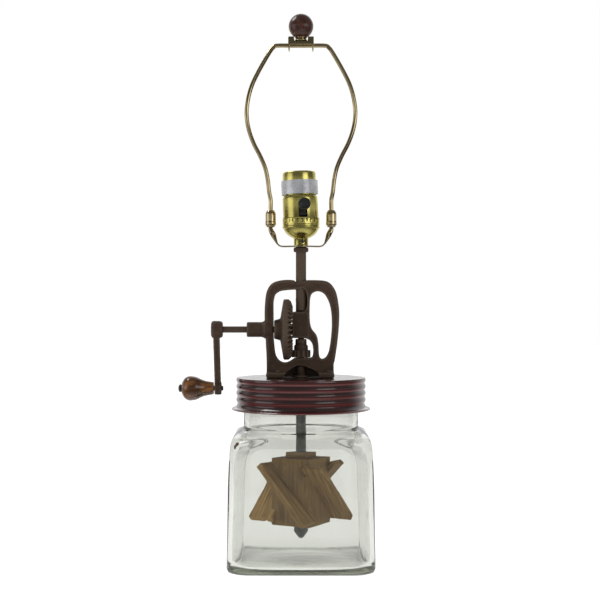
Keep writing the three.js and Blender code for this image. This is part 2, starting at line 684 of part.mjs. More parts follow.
add(head, "harp_saddle", saddleGeometry(), oldBrass);
add(head, "harp_wire", wireGeometry(), oldBrass);
add(head, "harp_swivel", swivelGeometry(), oldBrass);
[["left", -1], ["right", 1]].forEach(([side, sign]) => {
  const place = group(head);
  place.position.x = sign * HARP_LEG_X;
  add(place, "ferrule_" + side, ferruleGeometry(), brass);
});

// ---- finial ---------------------------------------------------------------------------------

const finial = group(lamp);
const STUD_BORE_R = 2.9 + RUNNING_GAP;
const finialBase = SWIVEL_Z + 1.6 + GAP;

function ballGeometry() {
  const ball = new THREE.SphereGeometry(FINIAL_BALL_R, 16, 10).rotateX(Math.PI / 2);
  ball.translate(0, 0, FINIAL_BALL_Z);
  const flat = box([-9, 9], [-9, 9], [FINIAL_BALL_Z - 15, FINIAL_BALL_Z - 10.6]);
  return cut(ball, flat, rod(STUD_BORE_R, FINIAL_BALL_Z - 15, 532, 12));
}

add(finial, "finial_base", tube(6.2, STUD_BORE_R, finialBase, FINIAL_BALL_Z - 10.9, 20), brass);
add(finial, "finial_ball", ballGeometry(), darkWood);

// ---- socket ---------------------------------------------------------------------------------

function socketCapGeometry() {
  const dome = [[7.15, SOCKET_Z], [7.15, 323.6], [10.6, 325], [14.8, 328.6], [17.4, 332.6],
    [CAP_R, 334], [CAP_R, CAP_RIM_Z]];
  const inner = [[CAP_R - 0.6, CAP_RIM_Z], [CAP_R - 0.6, 334.6], [14.2, 329.8], [10.2, 326],
    [5.5, 324.6], [5.5, SOCKET_Z]];
  const screwHole = alongY(rod(2, -12, 0, 12)).translate(1.6, 0, 320.4);
  return cut(lathe([...dome, ...inner], 20), screwHole);
}

function setScrewGeometry() {
  return alongY(rod(1.6, -8.6, -5.5, 12)).translate(1.6, 0, 320.4);
}

add(head, "socket_cap", socketCapGeometry(), brass);
add(head, "socket_set_screw", setScrewGeometry(), steel);

// Everything above the cap leans together, about the middle of the joint with the cap.
const LEAN_Z = 341;
const socket = group(head, LEAN_Z);
socket.rotation.y = (SOCKET_LEAN * Math.PI) / 180;
const knobTurn = (KNOB_AZIMUTH * Math.PI) / 180;

function fromLean(z) {
  return z - LEAN_Z;
}

function shellGeometry() {
  const bottom = fromLean(338);
  const step = fromLean(SHELL_STEP_Z);
  const top = fromLean(SHELL_TOP_Z);
  const wall = 0.6;
  const shell = lathe([
    [SHELL_R, bottom], [SHELL_R, step - 1.2], [SHELL_UPPER_R, step], [SHELL_UPPER_R, top - 1],
    [SHELL_UPPER_R - 0.8, top], [14.6, top], [14.6, top - wall], [SHELL_UPPER_R - wall, top - 1.4],
    [SHELL_UPPER_R - wall, step + 0.2], [SHELL_R - wall, step - 1.6], [SHELL_R - wall, bottom],
  ], 20);
  const slot = box([-5.2, 5.2], [-20, -8], [bottom - 1, fromLean(KNOB_Z)]);
  const round = alongY(rod(5.2, -20, -8)).translate(0, 0, fromLean(KNOB_Z));
  return cut(shell, join(slot, round).rotateZ(knobTurn));
}

function socketBodyGeometry() {
  const base = rod(13.6, fromLean(336), fromLean(364), 20);
  const housing = box([-4.6, 4.6], [-14.8, -8], [fromLean(345), fromLean(361)]);
  const stemBore = alongY(rod(2.6, -20, -9, 12)).translate(0, 0, fromLean(KNOB_Z));
  return cut(join(base, housing.rotateZ(knobTurn)), stemBore.rotateZ(knobTurn));
}

function linerGeometry() {
  return tube(14.9, 14.4, fromLean(365), fromLean(388.5), 20);
}

function screwShellGeometry() {
  const low = fromLean(366.2);
  const outer = [];
  const inner = [];
  for (let i = 0; i < 3; i += 1) {
    const z = low + 3 + i * 6;
    outer.push([13.9, z], [13.2, z + 3]);
    inner.push([13.3, z], [12.6, z + 3]);
  }
  return lathe([
    [5, low - 1.8], [13.9, low - 1.8], ...outer, [13.4, low + 21.6], [12.8, low + 21.6],
    ...inner.reverse(), [12.6, low - 1.2], [5, low - 1.2],
  ], 16);
}

function contactGeometry() {
  const stem = rod(1.3, fromLean(364.3), fromLean(368), 10);
  return join(stem, rod(3.2, fromLean(367), fromLean(368), 12));
}

function labelGeometry() {
  return tube(18.6, 17.2, fromLean(SHELL_STEP_Z + 0.6), fromLean(381), 20);
}

add(socket, "socket_shell", shellGeometry(), brass);
add(socket, "socket_body", socketBodyGeometry(), blackPlastic);
add(socket, "socket_liner", linerGeometry(), card);
add(socket, "screw_shell", screwShellGeometry(), aluminium);
add(socket, "centre_contact", contactGeometry(), brass);
add(socket, "socket_label", labelGeometry(), card);

const knob = group(socket, fromLean(KNOB_Z));
knob.rotation.z = knobTurn;
const KNOB_PROFILE = [
  [0, -31.4], [5.2, -31.4], [6.15, -30.4], [6.15, -23], [5.2, -21.4], [2.6, -21.4], [2.6, -23.8],
  [0, -23.8],
];
add(knob, "switch_knob", alongY(lathe(KNOB_PROFILE, 20)), blackPlastic);
add(knob, "switch_stem", alongY(rod(2.2, -23.4, -9.6, 12)), brass);

export default lamp;
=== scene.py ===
"""The looks of a table lamp in the form of a hand-cranked glass butter churn, built round its CAD frame.

Shapes are worked out in millimetres, in the frame's axes: +Z up, the crank towards -X, the front
towards -Y. Most pieces take their ends and radii from the box of the CAD node they stand for, and
the outlines that a box can't give are listed here. Pieces are stored in metres.
"""

import json
import math

import bmesh
import bpy
import numpy as np
from mathutils import Matrix, Vector
from mathutils.geometry import tessellate_polygon


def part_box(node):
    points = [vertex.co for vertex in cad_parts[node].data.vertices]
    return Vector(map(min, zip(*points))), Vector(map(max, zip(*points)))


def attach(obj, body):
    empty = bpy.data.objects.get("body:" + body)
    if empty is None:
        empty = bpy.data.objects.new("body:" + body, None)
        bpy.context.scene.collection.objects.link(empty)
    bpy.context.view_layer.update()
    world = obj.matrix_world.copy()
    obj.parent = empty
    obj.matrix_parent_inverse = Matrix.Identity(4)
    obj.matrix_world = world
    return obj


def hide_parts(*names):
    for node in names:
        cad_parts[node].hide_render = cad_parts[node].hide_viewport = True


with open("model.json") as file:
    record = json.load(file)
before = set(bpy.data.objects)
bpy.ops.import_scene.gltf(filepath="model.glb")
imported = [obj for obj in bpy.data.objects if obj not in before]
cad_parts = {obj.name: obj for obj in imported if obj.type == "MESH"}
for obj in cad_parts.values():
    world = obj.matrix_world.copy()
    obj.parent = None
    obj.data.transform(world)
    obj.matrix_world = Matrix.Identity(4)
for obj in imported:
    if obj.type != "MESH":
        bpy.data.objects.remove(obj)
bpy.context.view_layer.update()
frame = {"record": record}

MM = 0.001
TURN = 2 * math.pi
record = frame["record"]
SLOT_OF = {part["node"]: part["material_slot"] for part in record["subparts"]}
BODY_OF = {node: body for body, nodes in record["behaviour"]["bodies"].items() for node in nodes}


def span(node):
    """The lowest and highest corner of a CAD node, in millimetres."""
    low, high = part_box(node)
    return low / MM, high / MM


def middle(node):
    """The x, y and z of the middle of a CAD node's box, in millimetres."""
    return [(a + b) / 2 for a, b in zip(*span(node), strict=True)]


def show(name, data):
    """A new object in the scene, with that data."""
    made = bpy.data.objects.new(name, data)
    bpy.context.scene.collection.objects.link(made)
    return made


# ---- camera, floor and light ----


def make_camera():
    """A level camera, straight before the lamp at the height of its gears."""
    data = bpy.data.cameras.new("camera")
    data.lens = 75
    data.sensor_width = 36
    data.clip_end = 50
    data.shift_y = 1 / 120  # as a share of the picture's width
    camera = show("camera", data)
    camera.location = (-0.001, -1.25, 0.257)
    camera.rotation_euler = (math.radians(90), 0, 0)
    bpy.context.scene.camera = camera


def soft_box(name, azimuth, height, distance, width, tall, power):
    """A white area light that faces the lamp from azimuth degrees right of the front."""
    data = bpy.data.lights.new(name, "AREA")
    data.shape = "RECTANGLE"
    data.size, data.size_y = width, tall
    data.energy = power
    light = show(name, data)
    angle = math.radians(azimuth)
    light.location = (distance * math.sin(angle), -distance * math.cos(angle), height)
    aim = Vector((0, 0, 0.25)) - light.location
    light.rotation_euler = aim.to_track_quat("-Z", "Y").to_euler()
    light.visible_camera = False
    light.visible_transmission = False


# ---- node trees ----


def add(tree, kind, inputs=None, **settings):
    """A new node. An input given as a socket is linked, and anything else is its value."""
    node = tree.nodes.new("ShaderNode" + kind)
    for key, value in settings.items():
        setattr(node, key, value)
    for key, value in (inputs or {}).items():
        if isinstance(value, bpy.types.NodeSocket):
            tree.links.new(value, node.inputs[key])
        else:
            node.inputs[key].default_value = value
    return node


def ramp(tree, factor, *stops):
    """A colour ramp through (position, colour) stops, where a colour is a number or three."""
    node = add(tree, "ValToRGB", {"Fac": factor})
    elements = node.color_ramp.elements
    while len(elements) < len(stops):
        elements.new(0.5)
    for element, (position, colour) in zip(elements, stops, strict=True):
        element.position = position
        rgb = (colour,) * 3 if isinstance(colour, (int, float)) else colour
        element.color = (*rgb, 1)
    return node.outputs["Color"]


def mix(tree, factor, a, b, blend="MIX"):
    """Two colours mixed. Each may be a socket or three numbers."""
    node = add(tree, "Mix", data_type="RGBA", blend_type=blend)
    for slot, value in ((0, factor), (6, a), (7, b)):
        if isinstance(value, bpy.types.NodeSocket):
            tree.links.new(value, node.inputs[slot])
        elif slot == 0:
            node.inputs[slot].default_value = value
        else:
            node.inputs[slot].default_value = (*value, 1)
    return node.outputs[2]


def noise(tree, vector, scale, detail=3, roughness=0.55):
    """Noise from 0 to 1 whose features are about 1/scale metres across."""
    inputs = {"Vector": vector, "Scale": scale, "Detail": detail, "Roughness": roughness}
    return add(tree, "TexNoise", inputs).outputs["Fac"]


def bump(tree, height, strength, distance=0.0005, normal=None):
    """The normal of a surface raised by height, over another bump's normal if there is one."""
    inputs = {"Height": height, "Strength": strength, "Distance": distance}
    if normal:
        inputs["Normal"] = normal
    return add(tree, "Bump", inputs).outputs["Normal"]


def stretched(tree, vector, x, y, z):
    """The vector with its axes scaled, for grain and drawing marks."""
    return add(tree, "VectorMath", {0: vector, 1: (x, y, z)}, operation="MULTIPLY").outputs[0]


def place(tree):
    """The point's place in its object, in metres."""
    return add(tree, "TexCoord").outputs["Object"]


def attribute(tree, name, kind="Fac"):
    """A value that the mesh stores for each point."""
    return add(tree, "Attribute", attribute_name=name).outputs[kind]


def input_name(key):
    """A shader input's name, such as Base Color for base_color."""
    return key.replace("_", " ").title().replace("Ior", "IOR")


def material(name, **values):
    """A Principled material, with its plain values set. Returns it, its tree and its shader."""
    made = bpy.data.materials.new(name)
    made.use_nodes = True
    tree = made.node_tree
    shader = tree.nodes["Principled BSDF"]
    for key, value in values.items():
        shader.inputs[input_name(key)].default_value = value
    return made, tree, shader


def drive(tree, shader, **sockets):
    """Links each socket to the shader's input of that name."""
    for key, socket in sockets.items():
        tree.links.new(socket, shader.inputs[input_name(key)])


# ---- materials ----


def glass_look():
    """Pressed glass: faint grey-green, slightly wavy, scuffed at its foot, and clear to lights."""
    made, tree, shader = material("jar_glass", ior=1.46, transmission_weight=1.0)
    where = place(tree)
    ripple = noise(tree, stretched(tree, where, 1, 1, 0.35), 38, 2)
    seeds = noise(tree, where, 420, 1)
    wavy = bump(tree, ripple, 0.06, 0.004)
    # Glass that is seen edge-on is darker.
    facing = add(tree, "LayerWeight", {"Blend": 0.5}).outputs["Facing"]
    tint = ramp(
        tree, facing, (0.45, (0.79, 0.798, 0.772)), (0.7, (0.68, 0.69, 0.66)), (0.92, (0.58, 0.59, 0.555))
    )
    height = add(tree, "SeparateXYZ", {0: where}).outputs["Z"]
    scuffed = add(
        tree, "MapRange", {"Value": height, "From Max": 0.010, "To Min": 0.34, "To Max": 0.0}
    )
    drive(
        tree, shader, base_color=tint, roughness=scuffed.outputs[0],
        normal=bump(tree, seeds, 0.02, 0.0004, wavy),
    )
    path = add(tree, "LightPath")
    clear = add(tree, "BsdfTransparent", {"Color": (0.86, 0.89, 0.86, 1)})
    both = add(tree, "MixShader", {0: path.outputs["Is Shadow Ray"]})
    tree.links.new(shader.outputs[0], both.inputs[1])
    tree.links.new(clear.outputs[0], both.inputs[2])
    surface = tree.nodes["Material Output"]
    tree.links.new(both.outputs[0], surface.inputs["Surface"])
    depth = add(tree, "VolumeAbsorption", {"Color": (0.66, 0.69, 0.58, 1), "Density": 15})
    tree.links.new(depth.outputs[0], surface.inputs["Volume"])
    return made


def paint_look():
    """Oxblood enamel on pressed sheet: nearly black on top, redder on worn edges, and redder under its
    beads, partly worn paint and partly painted light bounced up from the floor.
    """
    made, tree, shader = material(
        "lid_paint", coat_weight=1.0, coat_roughness=0.15, coat_ior=1.63, specular_ior_level=0.2
    )
    where = place(tree)
    blotch = noise(tree, where, 60, 4)
    fine = noise(tree, where, 900, 3)
    body = ramp(tree, blotch, (0.35, (0.0175, 0.0050, 0.0047)), (0.65, (0.029, 0.0066, 0.0060)))
    # Faces that look down are painted redder: partly worn paint under the beads, partly painted light
    # bounced up from the pale floor.
    normal_z = add(tree, "SeparateXYZ", {0: add(tree, "NewGeometry").outputs["Normal"]}).outputs["Z"]
    facing_down = add(tree, "MapRange", {"Value": normal_z, "From Min": 0.0, "From Max": -1.0})
    under = ramp(tree, facing_down.outputs[0], (0.0, 0.0), (0.36, 0.85), (0.85, 0.7), (0.97, 0.0))
    edge = ramp(tree, attribute(tree, "edge"), (0.6, 0.0), (0.95, 0.6))
    red = (0.105, 0.009, 0.0075)
    wear_and_bounce_red = mix(tree, under, mix(tree, edge, body, red), red)
    rough = ramp(tree, fine, (0.3, 0.26), (0.7, 0.4))
    normal = bump(tree, fine, 0.08, 0.0003)
    drive(tree, shader, base_color=wear_and_bounce_red, roughness=rough, normal=normal)
    return made


def iron_look():
    """A rough casting under a dark rust-brown coat, lighter along its edges, partly from wear and partly
    as a painted highlight.
    """
    made, tree, shader = material("iron_brown", metallic=0.05, specular_ior_level=0.22)
    where = place(tree)
    blotch = noise(tree, where, 90, 5)
    grit = noise(tree, where, 1500, 3, 0.7)
    pits = noise(tree, where, 420, 3)
    body = ramp(tree, blotch, (0.3, (0.041, 0.0242, 0.0152)), (0.7, (0.067, 0.0402, 0.0248)))
    speckle = ramp(tree, grit, (0.35, 0.75), (0.7, 1.3))
    toned = mix(tree, 1.0, body, speckle, "MULTIPLY")
    # Points that stand out are painted lighter: partly wear, partly a painted highlight along the bars'
    # edges.
    edge = ramp(tree, attribute(tree, "edge"), (0.53, 0.0), (0.72, 1.0))
    wear_and_highlight = mix(tree, edge, toned, (0.088, 0.060, 0.041))
    rough = ramp(tree, pits, (0.3, 0.42), (0.7, 0.62))
    normal = bump(tree, grit, 0.3, 0.0003, bump(tree, pits, 0.35, 0.0008))
    drive(tree, shader, base_color=wear_and_highlight, roughness=rough, normal=normal)
    return made


def steel_look():
    """Dull dark steel with small speckles of tarnish."""
    made, tree, shader = material("steel_dark", metallic=0.75)
    where = place(tree)
    speck = noise(tree, where, 1100, 4, 0.7)
    cloud = noise(tree, where, 160, 3)
    body = ramp(tree, speck, (0.35, (0.042, 0.041, 0.041)), (0.7, (0.13, 0.124, 0.117)))
    toned = mix(tree, 0.35, body, ramp(tree, cloud, (0.3, 0.05), (0.7, 0.2)))
    rough = ramp(tree, cloud, (0.3, 0.38), (0.7, 0.6))
    drive(tree, shader, base_color=toned, roughness=rough, normal=bump(tree, speck, 0.3, 0.0003))
    return made


def brass_look(name, bright, dull, low, high, patches=120, marks_z=9):
    """Plated brass: a warm mirror with thin patches of tarnish, and faint marks across or along Z."""
    made, tree, shader = material(name, metallic=1.0, specular_ior_level=0.5)
    where = place(tree)
    cloud = noise(tree, where, patches, 3)
    marks = noise(tree, stretched(tree, where, 1, 1, marks_z), 320, 3)
    colour = mix(tree, ramp(tree, cloud, (0.4, 0.0), (0.75, 1.0)), bright, dull)
    rough = ramp(tree, cloud, (0.3, low), (0.75, high))
    wavy = bump(tree, cloud, 0.02, 0.001)
    drive(
        tree, shader, base_color=colour, roughness=rough, normal=bump(tree, marks, 0.006, 0.0002, wavy)
    )
    return made


def wood_look(name, light, dark, gloss, coat, ring, mottle=0.0, coat_rough=0.06):
    """Wood whose fibres run along the first axis of the piece's own grain attribute.

    ring is how closely the growth rings lie, coat is how much lacquer it has, mottle is how dark
    its stained patches are, and the tone attribute lightens a whole piece as painted light, for a
    piece that the lamps light more brightly.
    """
    made, tree, shader = material(
        name, coat_weight=coat, coat_roughness=coat_rough, coat_ior=1.55, specular_ior_level=0.2
    )
    grain = attribute(tree, "grain", "Vector")
    warp = noise(tree, stretched(tree, grain, 14, 60, 60), 1, 3)
    sideways = add(tree, "CombineXYZ", {"Y": warp}).outputs[0]
    bent = add(tree, "VectorMath", {0: grain, 1: sideways, 2: grain}, operation="MULTIPLY_ADD")
    rings = noise(tree, stretched(tree, bent.outputs[0], 9, ring, ring), 1, 4, 0.6)
    fibre = noise(tree, stretched(tree, grain, 25, 620, 620), 1, 4, 0.65)
    pores = noise(tree, stretched(tree, grain, 160, 4200, 4200), 1, 2)
    body = mix(tree, ramp(tree, rings, (0.41, 0.0), (0.6, 1.0)), dark, light)
    # The tone attribute lightens the whole piece: painted light, for a blade lit more brightly than the
    # hub.
    body = mix(tree, attribute(tree, "tone"), body, tuple(1.9 * c for c in light))
    streak = ramp(tree, fibre, (0.36, 0.5), (0.64, 1.4))
    toned = mix(tree, 1.0, body, streak, "MULTIPLY")
    if mottle:
        cloud = noise(tree, stretched(tree, grain, 70, 110, 110), 1, 3, 0.5)
        patch = ramp(tree, cloud, (0.42, mottle), (0.6, 0.0))
        toned = mix(tree, patch, toned, (0.018, 0.0065, 0.003))
    edge = ramp(tree, attribute(tree, "edge"), (0.5, 0.0), (0.9, 0.55))
    toned = mix(tree, edge, toned, tuple(1.6 * c for c in light))
    rough = ramp(tree, pores, (0.35, gloss), (0.7, min(1, gloss + 0.15)))
    drive(tree, shader, base_color=toned, roughness=rough, normal=bump(tree, fibre, 0.25, 0.0003))
    return made


def plain_look(name, dark, light, rough, scale=700, grit=0.15, **values):
    """A moulded or stamped surface: two close tones, uneven roughness and a fine texture."""
    made, tree, shader = material(name, **values)
    where = place(tree)
    cloud = noise(tree, where, scale / 8, 3)
    fine = noise(tree, where, scale, 3)
    tone = mix(tree, ramp(tree, cloud, (0.3, 0.0), (0.7, 1.0)), dark, light)
    uneven = ramp(tree, fine, (0.3, rough), (0.7, min(1, rough + 0.12)))
    drive(tree, shader, base_color=tone, roughness=uneven, normal=bump(tree, fine, grit, 0.0003))
    return made


LOOKS = {
    "jar_glass": glass_look(),
    "lid_paint": paint_look(),
    "rubber": plain_look("rubber", (0.012, 0.011, 0.010), (0.022, 0.02, 0.018), 0.7),
    "iron_brown": iron_look(),
    "steel_dark": steel_look(),
    "brass_bright": brass_look("brass_bright", (0.72, 0.64, 0.20), (0.58, 0.50, 0.14), 0.2, 0.29),
    "brass_antique": brass_look(
        "brass_antique", (0.56, 0.46, 0.26), (0.44, 0.35, 0.19), 0.1, 0.15, 45, 0.08
    ),
    "wood_lacquered": wood_look(
        "wood_lacquered", (0.20, 0.078, 0.016), (0.075, 0.024, 0.006), 0.22, 1.0, 180, 0.85
    ),
    "wood_dark": wood_look(
        "wood_dark", (0.055, 0.019, 0.011), (0.024, 0.008, 0.005), 0.3, 0.6, 220, 0.0, 0.2
    ),
    "wood_plain": wood_look("wood_plain", (0.20, 0.119, 0.043), (0.062, 0.034, 0.011), 0.62, 0.0, 200),
    "phenolic_black": plain_look(
        "phenolic_black", (0.006, 0.006, 0.006), (0.014, 0.014, 0.014), 0.28, 900, 0.08
    ),
    "card_liner": plain_look("card_liner", (0.36, 0.34, 0.29), (0.47, 0.44, 0.38), 0.8, 1200, 0.3),
    "label_blank": plain_look(
        "label_blank", (0.34, 0.35, 0.37), (0.64, 0.65, 0.67), 0.26, 420, 0.5, metallic=0.5
    ),
    "aluminium": plain_look(
        "aluminium", (0.5, 0.5, 0.5), (0.68, 0.68, 0.68), 0.25, 900, 0.1, metallic=1.0
    ),
}

# The ferrules are brass like the socket, but as dark as the harp they slide on.
LOOK_OF = {"ferrule_left": "brass_antique", "ferrule_right": "brass_antique"}

# ---- shapes ----
# A shape is (points, faces): an array of points in millimetres, and lists of point numbers.

ON_AXIS = 1e-6  # a radius under this counts as none

# Turns that lay a lathe's axis along +X or +Y.
ALONG_X = Matrix.Rotation(math.radians(90), 4, "Y")
ALONG_Y = Matrix.Rotation(math.radians(-90), 4, "X")


def moved(shape, matrix):
    """The shape turned and shifted by the matrix."""
    points, faces = shape
    turned = points @ np.array(matrix.to_3x3()).T + np.array(matrix.translation)
    return turned, faces


def merged(*shapes):
    """The shapes as one, still overlapping where they overlap."""
    points, faces = [], []
    for more, loops in shapes:
        start = sum(len(p) for p in points)
        points.append(more)
        faces += [[start + i for i in loop] for loop in loops]
    return np.concatenate(points), faces


def soften(points, reach, closed=False, steps=3):
    """The line of points with each corner turned into a short curve of up to that reach."""
    line = [Vector(p) for p in points]
    made = []
    for i, corner in enumerate(line):
        if not closed and i in (0, len(line) - 1):
            made.append(corner)
            continue
        back, ahead = line[i - 1] - corner, line[(i + 1) % len(line)] - corner
        size = min(reach, 0.45 * back.length, 0.45 * ahead.length)
        start, end = corner + back.normalized() * size, corner + ahead.normalized() * size
        for k in range(steps + 1):
            t = k / steps
            made.append(start * (1 - t) ** 2 + corner * 2 * t * (1 - t) + end * t * t)
    return made


def smooth_line(points, per=8, closed=False):
    """A Catmull-Rom curve through the points, with per steps between each two."""
    p = np.array(points, float)
    if closed:
        p = np.vstack([p[-1], p, p[:2]])
    else:
        p = np.vstack([2 * p[0] - p[1], p, 2 * p[-1] - p[-2]])
    made = []
    for a, b, c, d in zip(p, p[1:], p[2:], p[3:], strict=False):
        for t in np.arange(per) / per:
            made.append(
                0.5 * (2 * b + (c - a) * t + (2 * a - 5 * b + 4 * c - d) * t**2
                       + (3 * b - a - 3 * c + d) * t**3)
            )
    if not closed:
        made.append(p[-2])
    return made


def skin(rows, closed=False, capped=False):
    """Faces over rows of points, each row a ring. A row of one point is a pole.

    closed joins the last row to the first, and capped fills both end rows.
    """
    points = np.concatenate(rows)
    starts = np.cumsum([0] + [len(r) for r in rows])
    faces = []
    pairs = list(zip(range(len(rows)), range(1, len(rows)), strict=False))
    if closed:
        pairs.append((len(rows) - 1, 0))
    for low, high in pairs:
        a, b = starts[low], starts[high]
        na, nb = len(rows[low]), len(rows[high])
        for i in range(max(na, nb)):
            j = (i + 1) % max(na, nb)
            if na == 1:
                faces.append([a, b + j, b + i])
            elif nb == 1:
                faces.append([a + i, a + j, b])
            else:
                faces.append([a + i, a + j, b + j, b + i])
    if capped:
        faces.append(list(range(starts[0], starts[1])))
        faces.append(list(range(starts[-2], starts[-1])))
    return points, faces


def lathe(profile, around=96, axis=None, at=(0, 0, 0), form=None):
    """A profile of (radius, height) turned about +Z, or about the matrix's +Z, through at.

    form(angles, radius, height) may change a row's radii and heights. The profile closes on
    itself unless it starts and ends on the axis.
    """
    angles = np.arange(around) * TURN / around
    rows = []
    for r, z in profile:
        if r < ON_AXIS:
            rows.append(np.array([[0, 0, z]], float))
            continue
        radius, height = np.full(len(angles), float(r)), np.full(len(angles), float(z))
        if form:
            radius, height = form(angles, radius, height)
        rows.append(np.stack([radius * np.cos(angles), radius * np.sin(angles), height], 1))
    shape = skin(rows, closed=profile[0][0] > ON_AXIS)
    if axis is not None:
        shape = moved(shape, axis)
    return moved(shape, Matrix.Translation(at))


def tube(inner, outer, low, high):
    """The lathe profile of a plain tube, or of a rod where inner is 0."""
    return [(inner, low), (outer, low), (outer, high), (inner, high)]


def turned(profile, reach=0.4, **keywords):
    """A lathe shape whose corners are eased by reach."""
    on_axis = profile[0][0] < ON_AXIS
    return lathe(soften(profile, reach, closed=not on_axis), **keywords)


def sweep(path, across, up, sections):
    """Sections of (u, v) points carried along a path. across and up give each frame's axes."""
    rows = []
    for i, centre in enumerate(path):
        uv = np.array(sections[i])
        rows.append(np.array(centre) + uv[:, :1] * np.array(across[i]) + uv[:, 1:] * np.array(up[i]))
    return skin(rows, capped=True)


def plane_frames(path):
    """For a path in the XZ plane, the direction across it in that plane, and +Y."""
    steps = np.gradient(np.array(path, float), axis=0)
    steps /= np.linalg.norm(steps, axis=1)[:, None]
    across = np.stack([-steps[:, 2], np.zeros(len(path)), steps[:, 0]], 1)
    return across, np.tile([0.0, 1.0, 0.0], (len(path), 1))


def oval(half_u, half_v, power=2.0, count=24):
    """A superellipse: power 2 is an ellipse, and a higher one is nearer a rectangle."""
    t = np.arange(count) * TURN / count
    c, s = np.cos(t), np.sin(t)
    return np.stack(
        [half_u * np.sign(c) * abs(c) ** (2 / power), half_v * np.sign(s) * abs(s) ** (2 / power)], 1
    )


def prism(outline, low, high, holes=()):
    """An outline in the XZ plane, with holes, given a thickness along Y."""
    loops = [list(outline), *map(list, holes)]
    flat = [Vector((x, z, 0)) for loop in loops for x, z in loop]
    count = len(flat)
    fill = tessellate_polygon([[Vector((x, z, 0)) for x, z in loop] for loop in loops])
    points = [(p.x, low, p.y) for p in flat] + [(p.x, high, p.y) for p in flat]
    faces = [list(f) for f in fill] + [[i + count for i in reversed(f)] for f in fill]
    start = 0
    for loop in loops:
        for i in range(len(loop)):
            a, b = start + i, start + (i + 1) % len(loop)
            faces.append([a, b, b + count, a + count])
        start += len(loop)
    return np.array(points, float), faces


def inset(outline, by):
    """The points of a closed (x, z) line, each moved inwards by that much."""
    line = np.array(outline, float)
    along = np.roll(line, -1, 0) - np.roll(line, 1, 0)
    along /= np.linalg.norm(along, axis=1)[:, None]
    ahead = np.roll(line, -1, 0)
    turn = np.sign((line[:, 0] * ahead[:, 1] - ahead[:, 0] * line[:, 1]).sum())
    return line + by * turn * np.stack([-along[:, 1], along[:, 0]], 1)


def block(low, high, bevel=0.6, segments=3, cuts=0):
    """A box with eased edges."""
    bm = bmesh.new()
    size = Vector(high) - Vector(low)
    centre = (Vector(high) + Vector(low)) / 2
    where = Matrix.Translation(centre) @ Matrix.Diagonal(size).to_4x4()
    bmesh.ops.create_cube(bm, size=1, matrix=where)
    bmesh.ops.bevel(
        bm, geom=bm.edges[:], offset=bevel, segments=segments, profile=0.5, affect="EDGES"
    )
    if cuts:
        bmesh.ops.subdivide_edges(bm, edges=bm.edges[:], cuts=cuts, use_grid_fill=True)
    return shape_from(bm)


def shape_from(bm):
    """The shape that a bmesh holds. The bmesh is freed."""
    bm.verts.ensure_lookup_table()
    points = np.array([v.co[:] for v in bm.verts])
    faces = [[v.index for v in f.verts] for f in bm.faces]
    bm.free()
    return points, faces


def mesh_of(shape):
    """A Blender mesh of the shape, with its faces turned outwards."""
    points, faces = shape
    mesh = bpy.data.meshes.new("work")
    mesh.from_pydata(points.tolist(), [], [[int(i) for i in f] for f in faces])
    bm = bmesh.new()
    bm.from_mesh(mesh)
    bmesh.ops.recalc_face_normals(bm, faces=bm.faces[:])
    bm.to_mesh(mesh)
    bm.free()
    return mesh


def modified(mesh, *steps):
    """The mesh after these modifiers, each given as (kind, settings)."""
    work = show("work", mesh)
    for kind, settings in steps:
        modifier = work.modifiers.new(kind, kind)
        for key, value in settings.items():
            setattr(modifier, key, value)
    graph = bpy.context.evaluated_depsgraph_get()
    made = bpy.data.meshes.new_from_object(work.evaluated_get(graph))
    bpy.data.objects.remove(work)
    return made


def cut(mesh, *tools):
    """The mesh less each tool shape."""
    for tool in tools:
        cutter = show("cutter", mesh_of(tool))
        settings = {"operation": "DIFFERENCE", "object": cutter, "solver": "MANIFOLD"}
        mesh = modified(mesh, ("BOOLEAN", settings))
        bpy.data.objects.remove(cutter)
    return mesh


def cast(shape, voxel, smoothing):
    """Overlapping closed shapes fused into one casting with rounded edges and filled corners."""
    return modified(
        mesh_of(shape),
        ("REMESH", {"mode": "VOXEL", "voxel_size": voxel, "adaptivity": 0}),
        ("SMOOTH", {"factor": 0.5, "iterations": smoothing}),
    )


def roughened(mesh, scale, strength, depth):
    """The mesh with its surface pushed in and out by a cloud texture of that scale and depth."""
    texture = bpy.data.textures.new("clouds", "CLOUDS")
    texture.noise_scale = scale
    texture.noise_depth = depth
    settings = {"texture": texture, "strength": strength, "mid_level": 0.5, "texture_coords": "LOCAL"}
    return modified(mesh, ("DISPLACE", settings))


def mark_edges(mesh, reach):
    """Stores how far each point stands out from those around it, as the edge attribute."""
    count = len(mesh.vertices)
    co = np.zeros(count * 3)
    mesh.vertices.foreach_get("co", co)
    normal = np.zeros(count * 3)
    mesh.vertices.foreach_get("normal", normal)
    ends = np.zeros(len(mesh.edges) * 2, int)
    mesh.edges.foreach_get("vertices", ends)
    co, normal, ends = co.reshape(-1, 3), normal.reshape(-1, 3), ends.reshape(-1, 2)
    a, b = ends[:, 0], ends[:, 1]
    apart = co[b] - co[a]
    length = np.maximum(np.linalg.norm(apart, axis=1), 1e-9)
    bend = np.zeros(count)
    near = np.maximum(np.bincount(a, minlength=count) + np.bincount(b, minlength=count), 1)
    np.add.at(bend, a, -(apart * normal[a]).sum(1) / length)
    np.add.at(bend, b, (apart * normal[b]).sum(1) / length)
    bend /= near
    for _ in range(3):
        spread = bend.copy()
        np.add.at(spread, a, bend[b])
        np.add.at(spread, b, bend[a])
        bend = spread / (near + 1)
    layer = mesh.attributes.new("edge", "FLOAT", "POINT")
    layer.data.foreach_set("value", np.clip(0.5 + bend * reach, 0, 1))


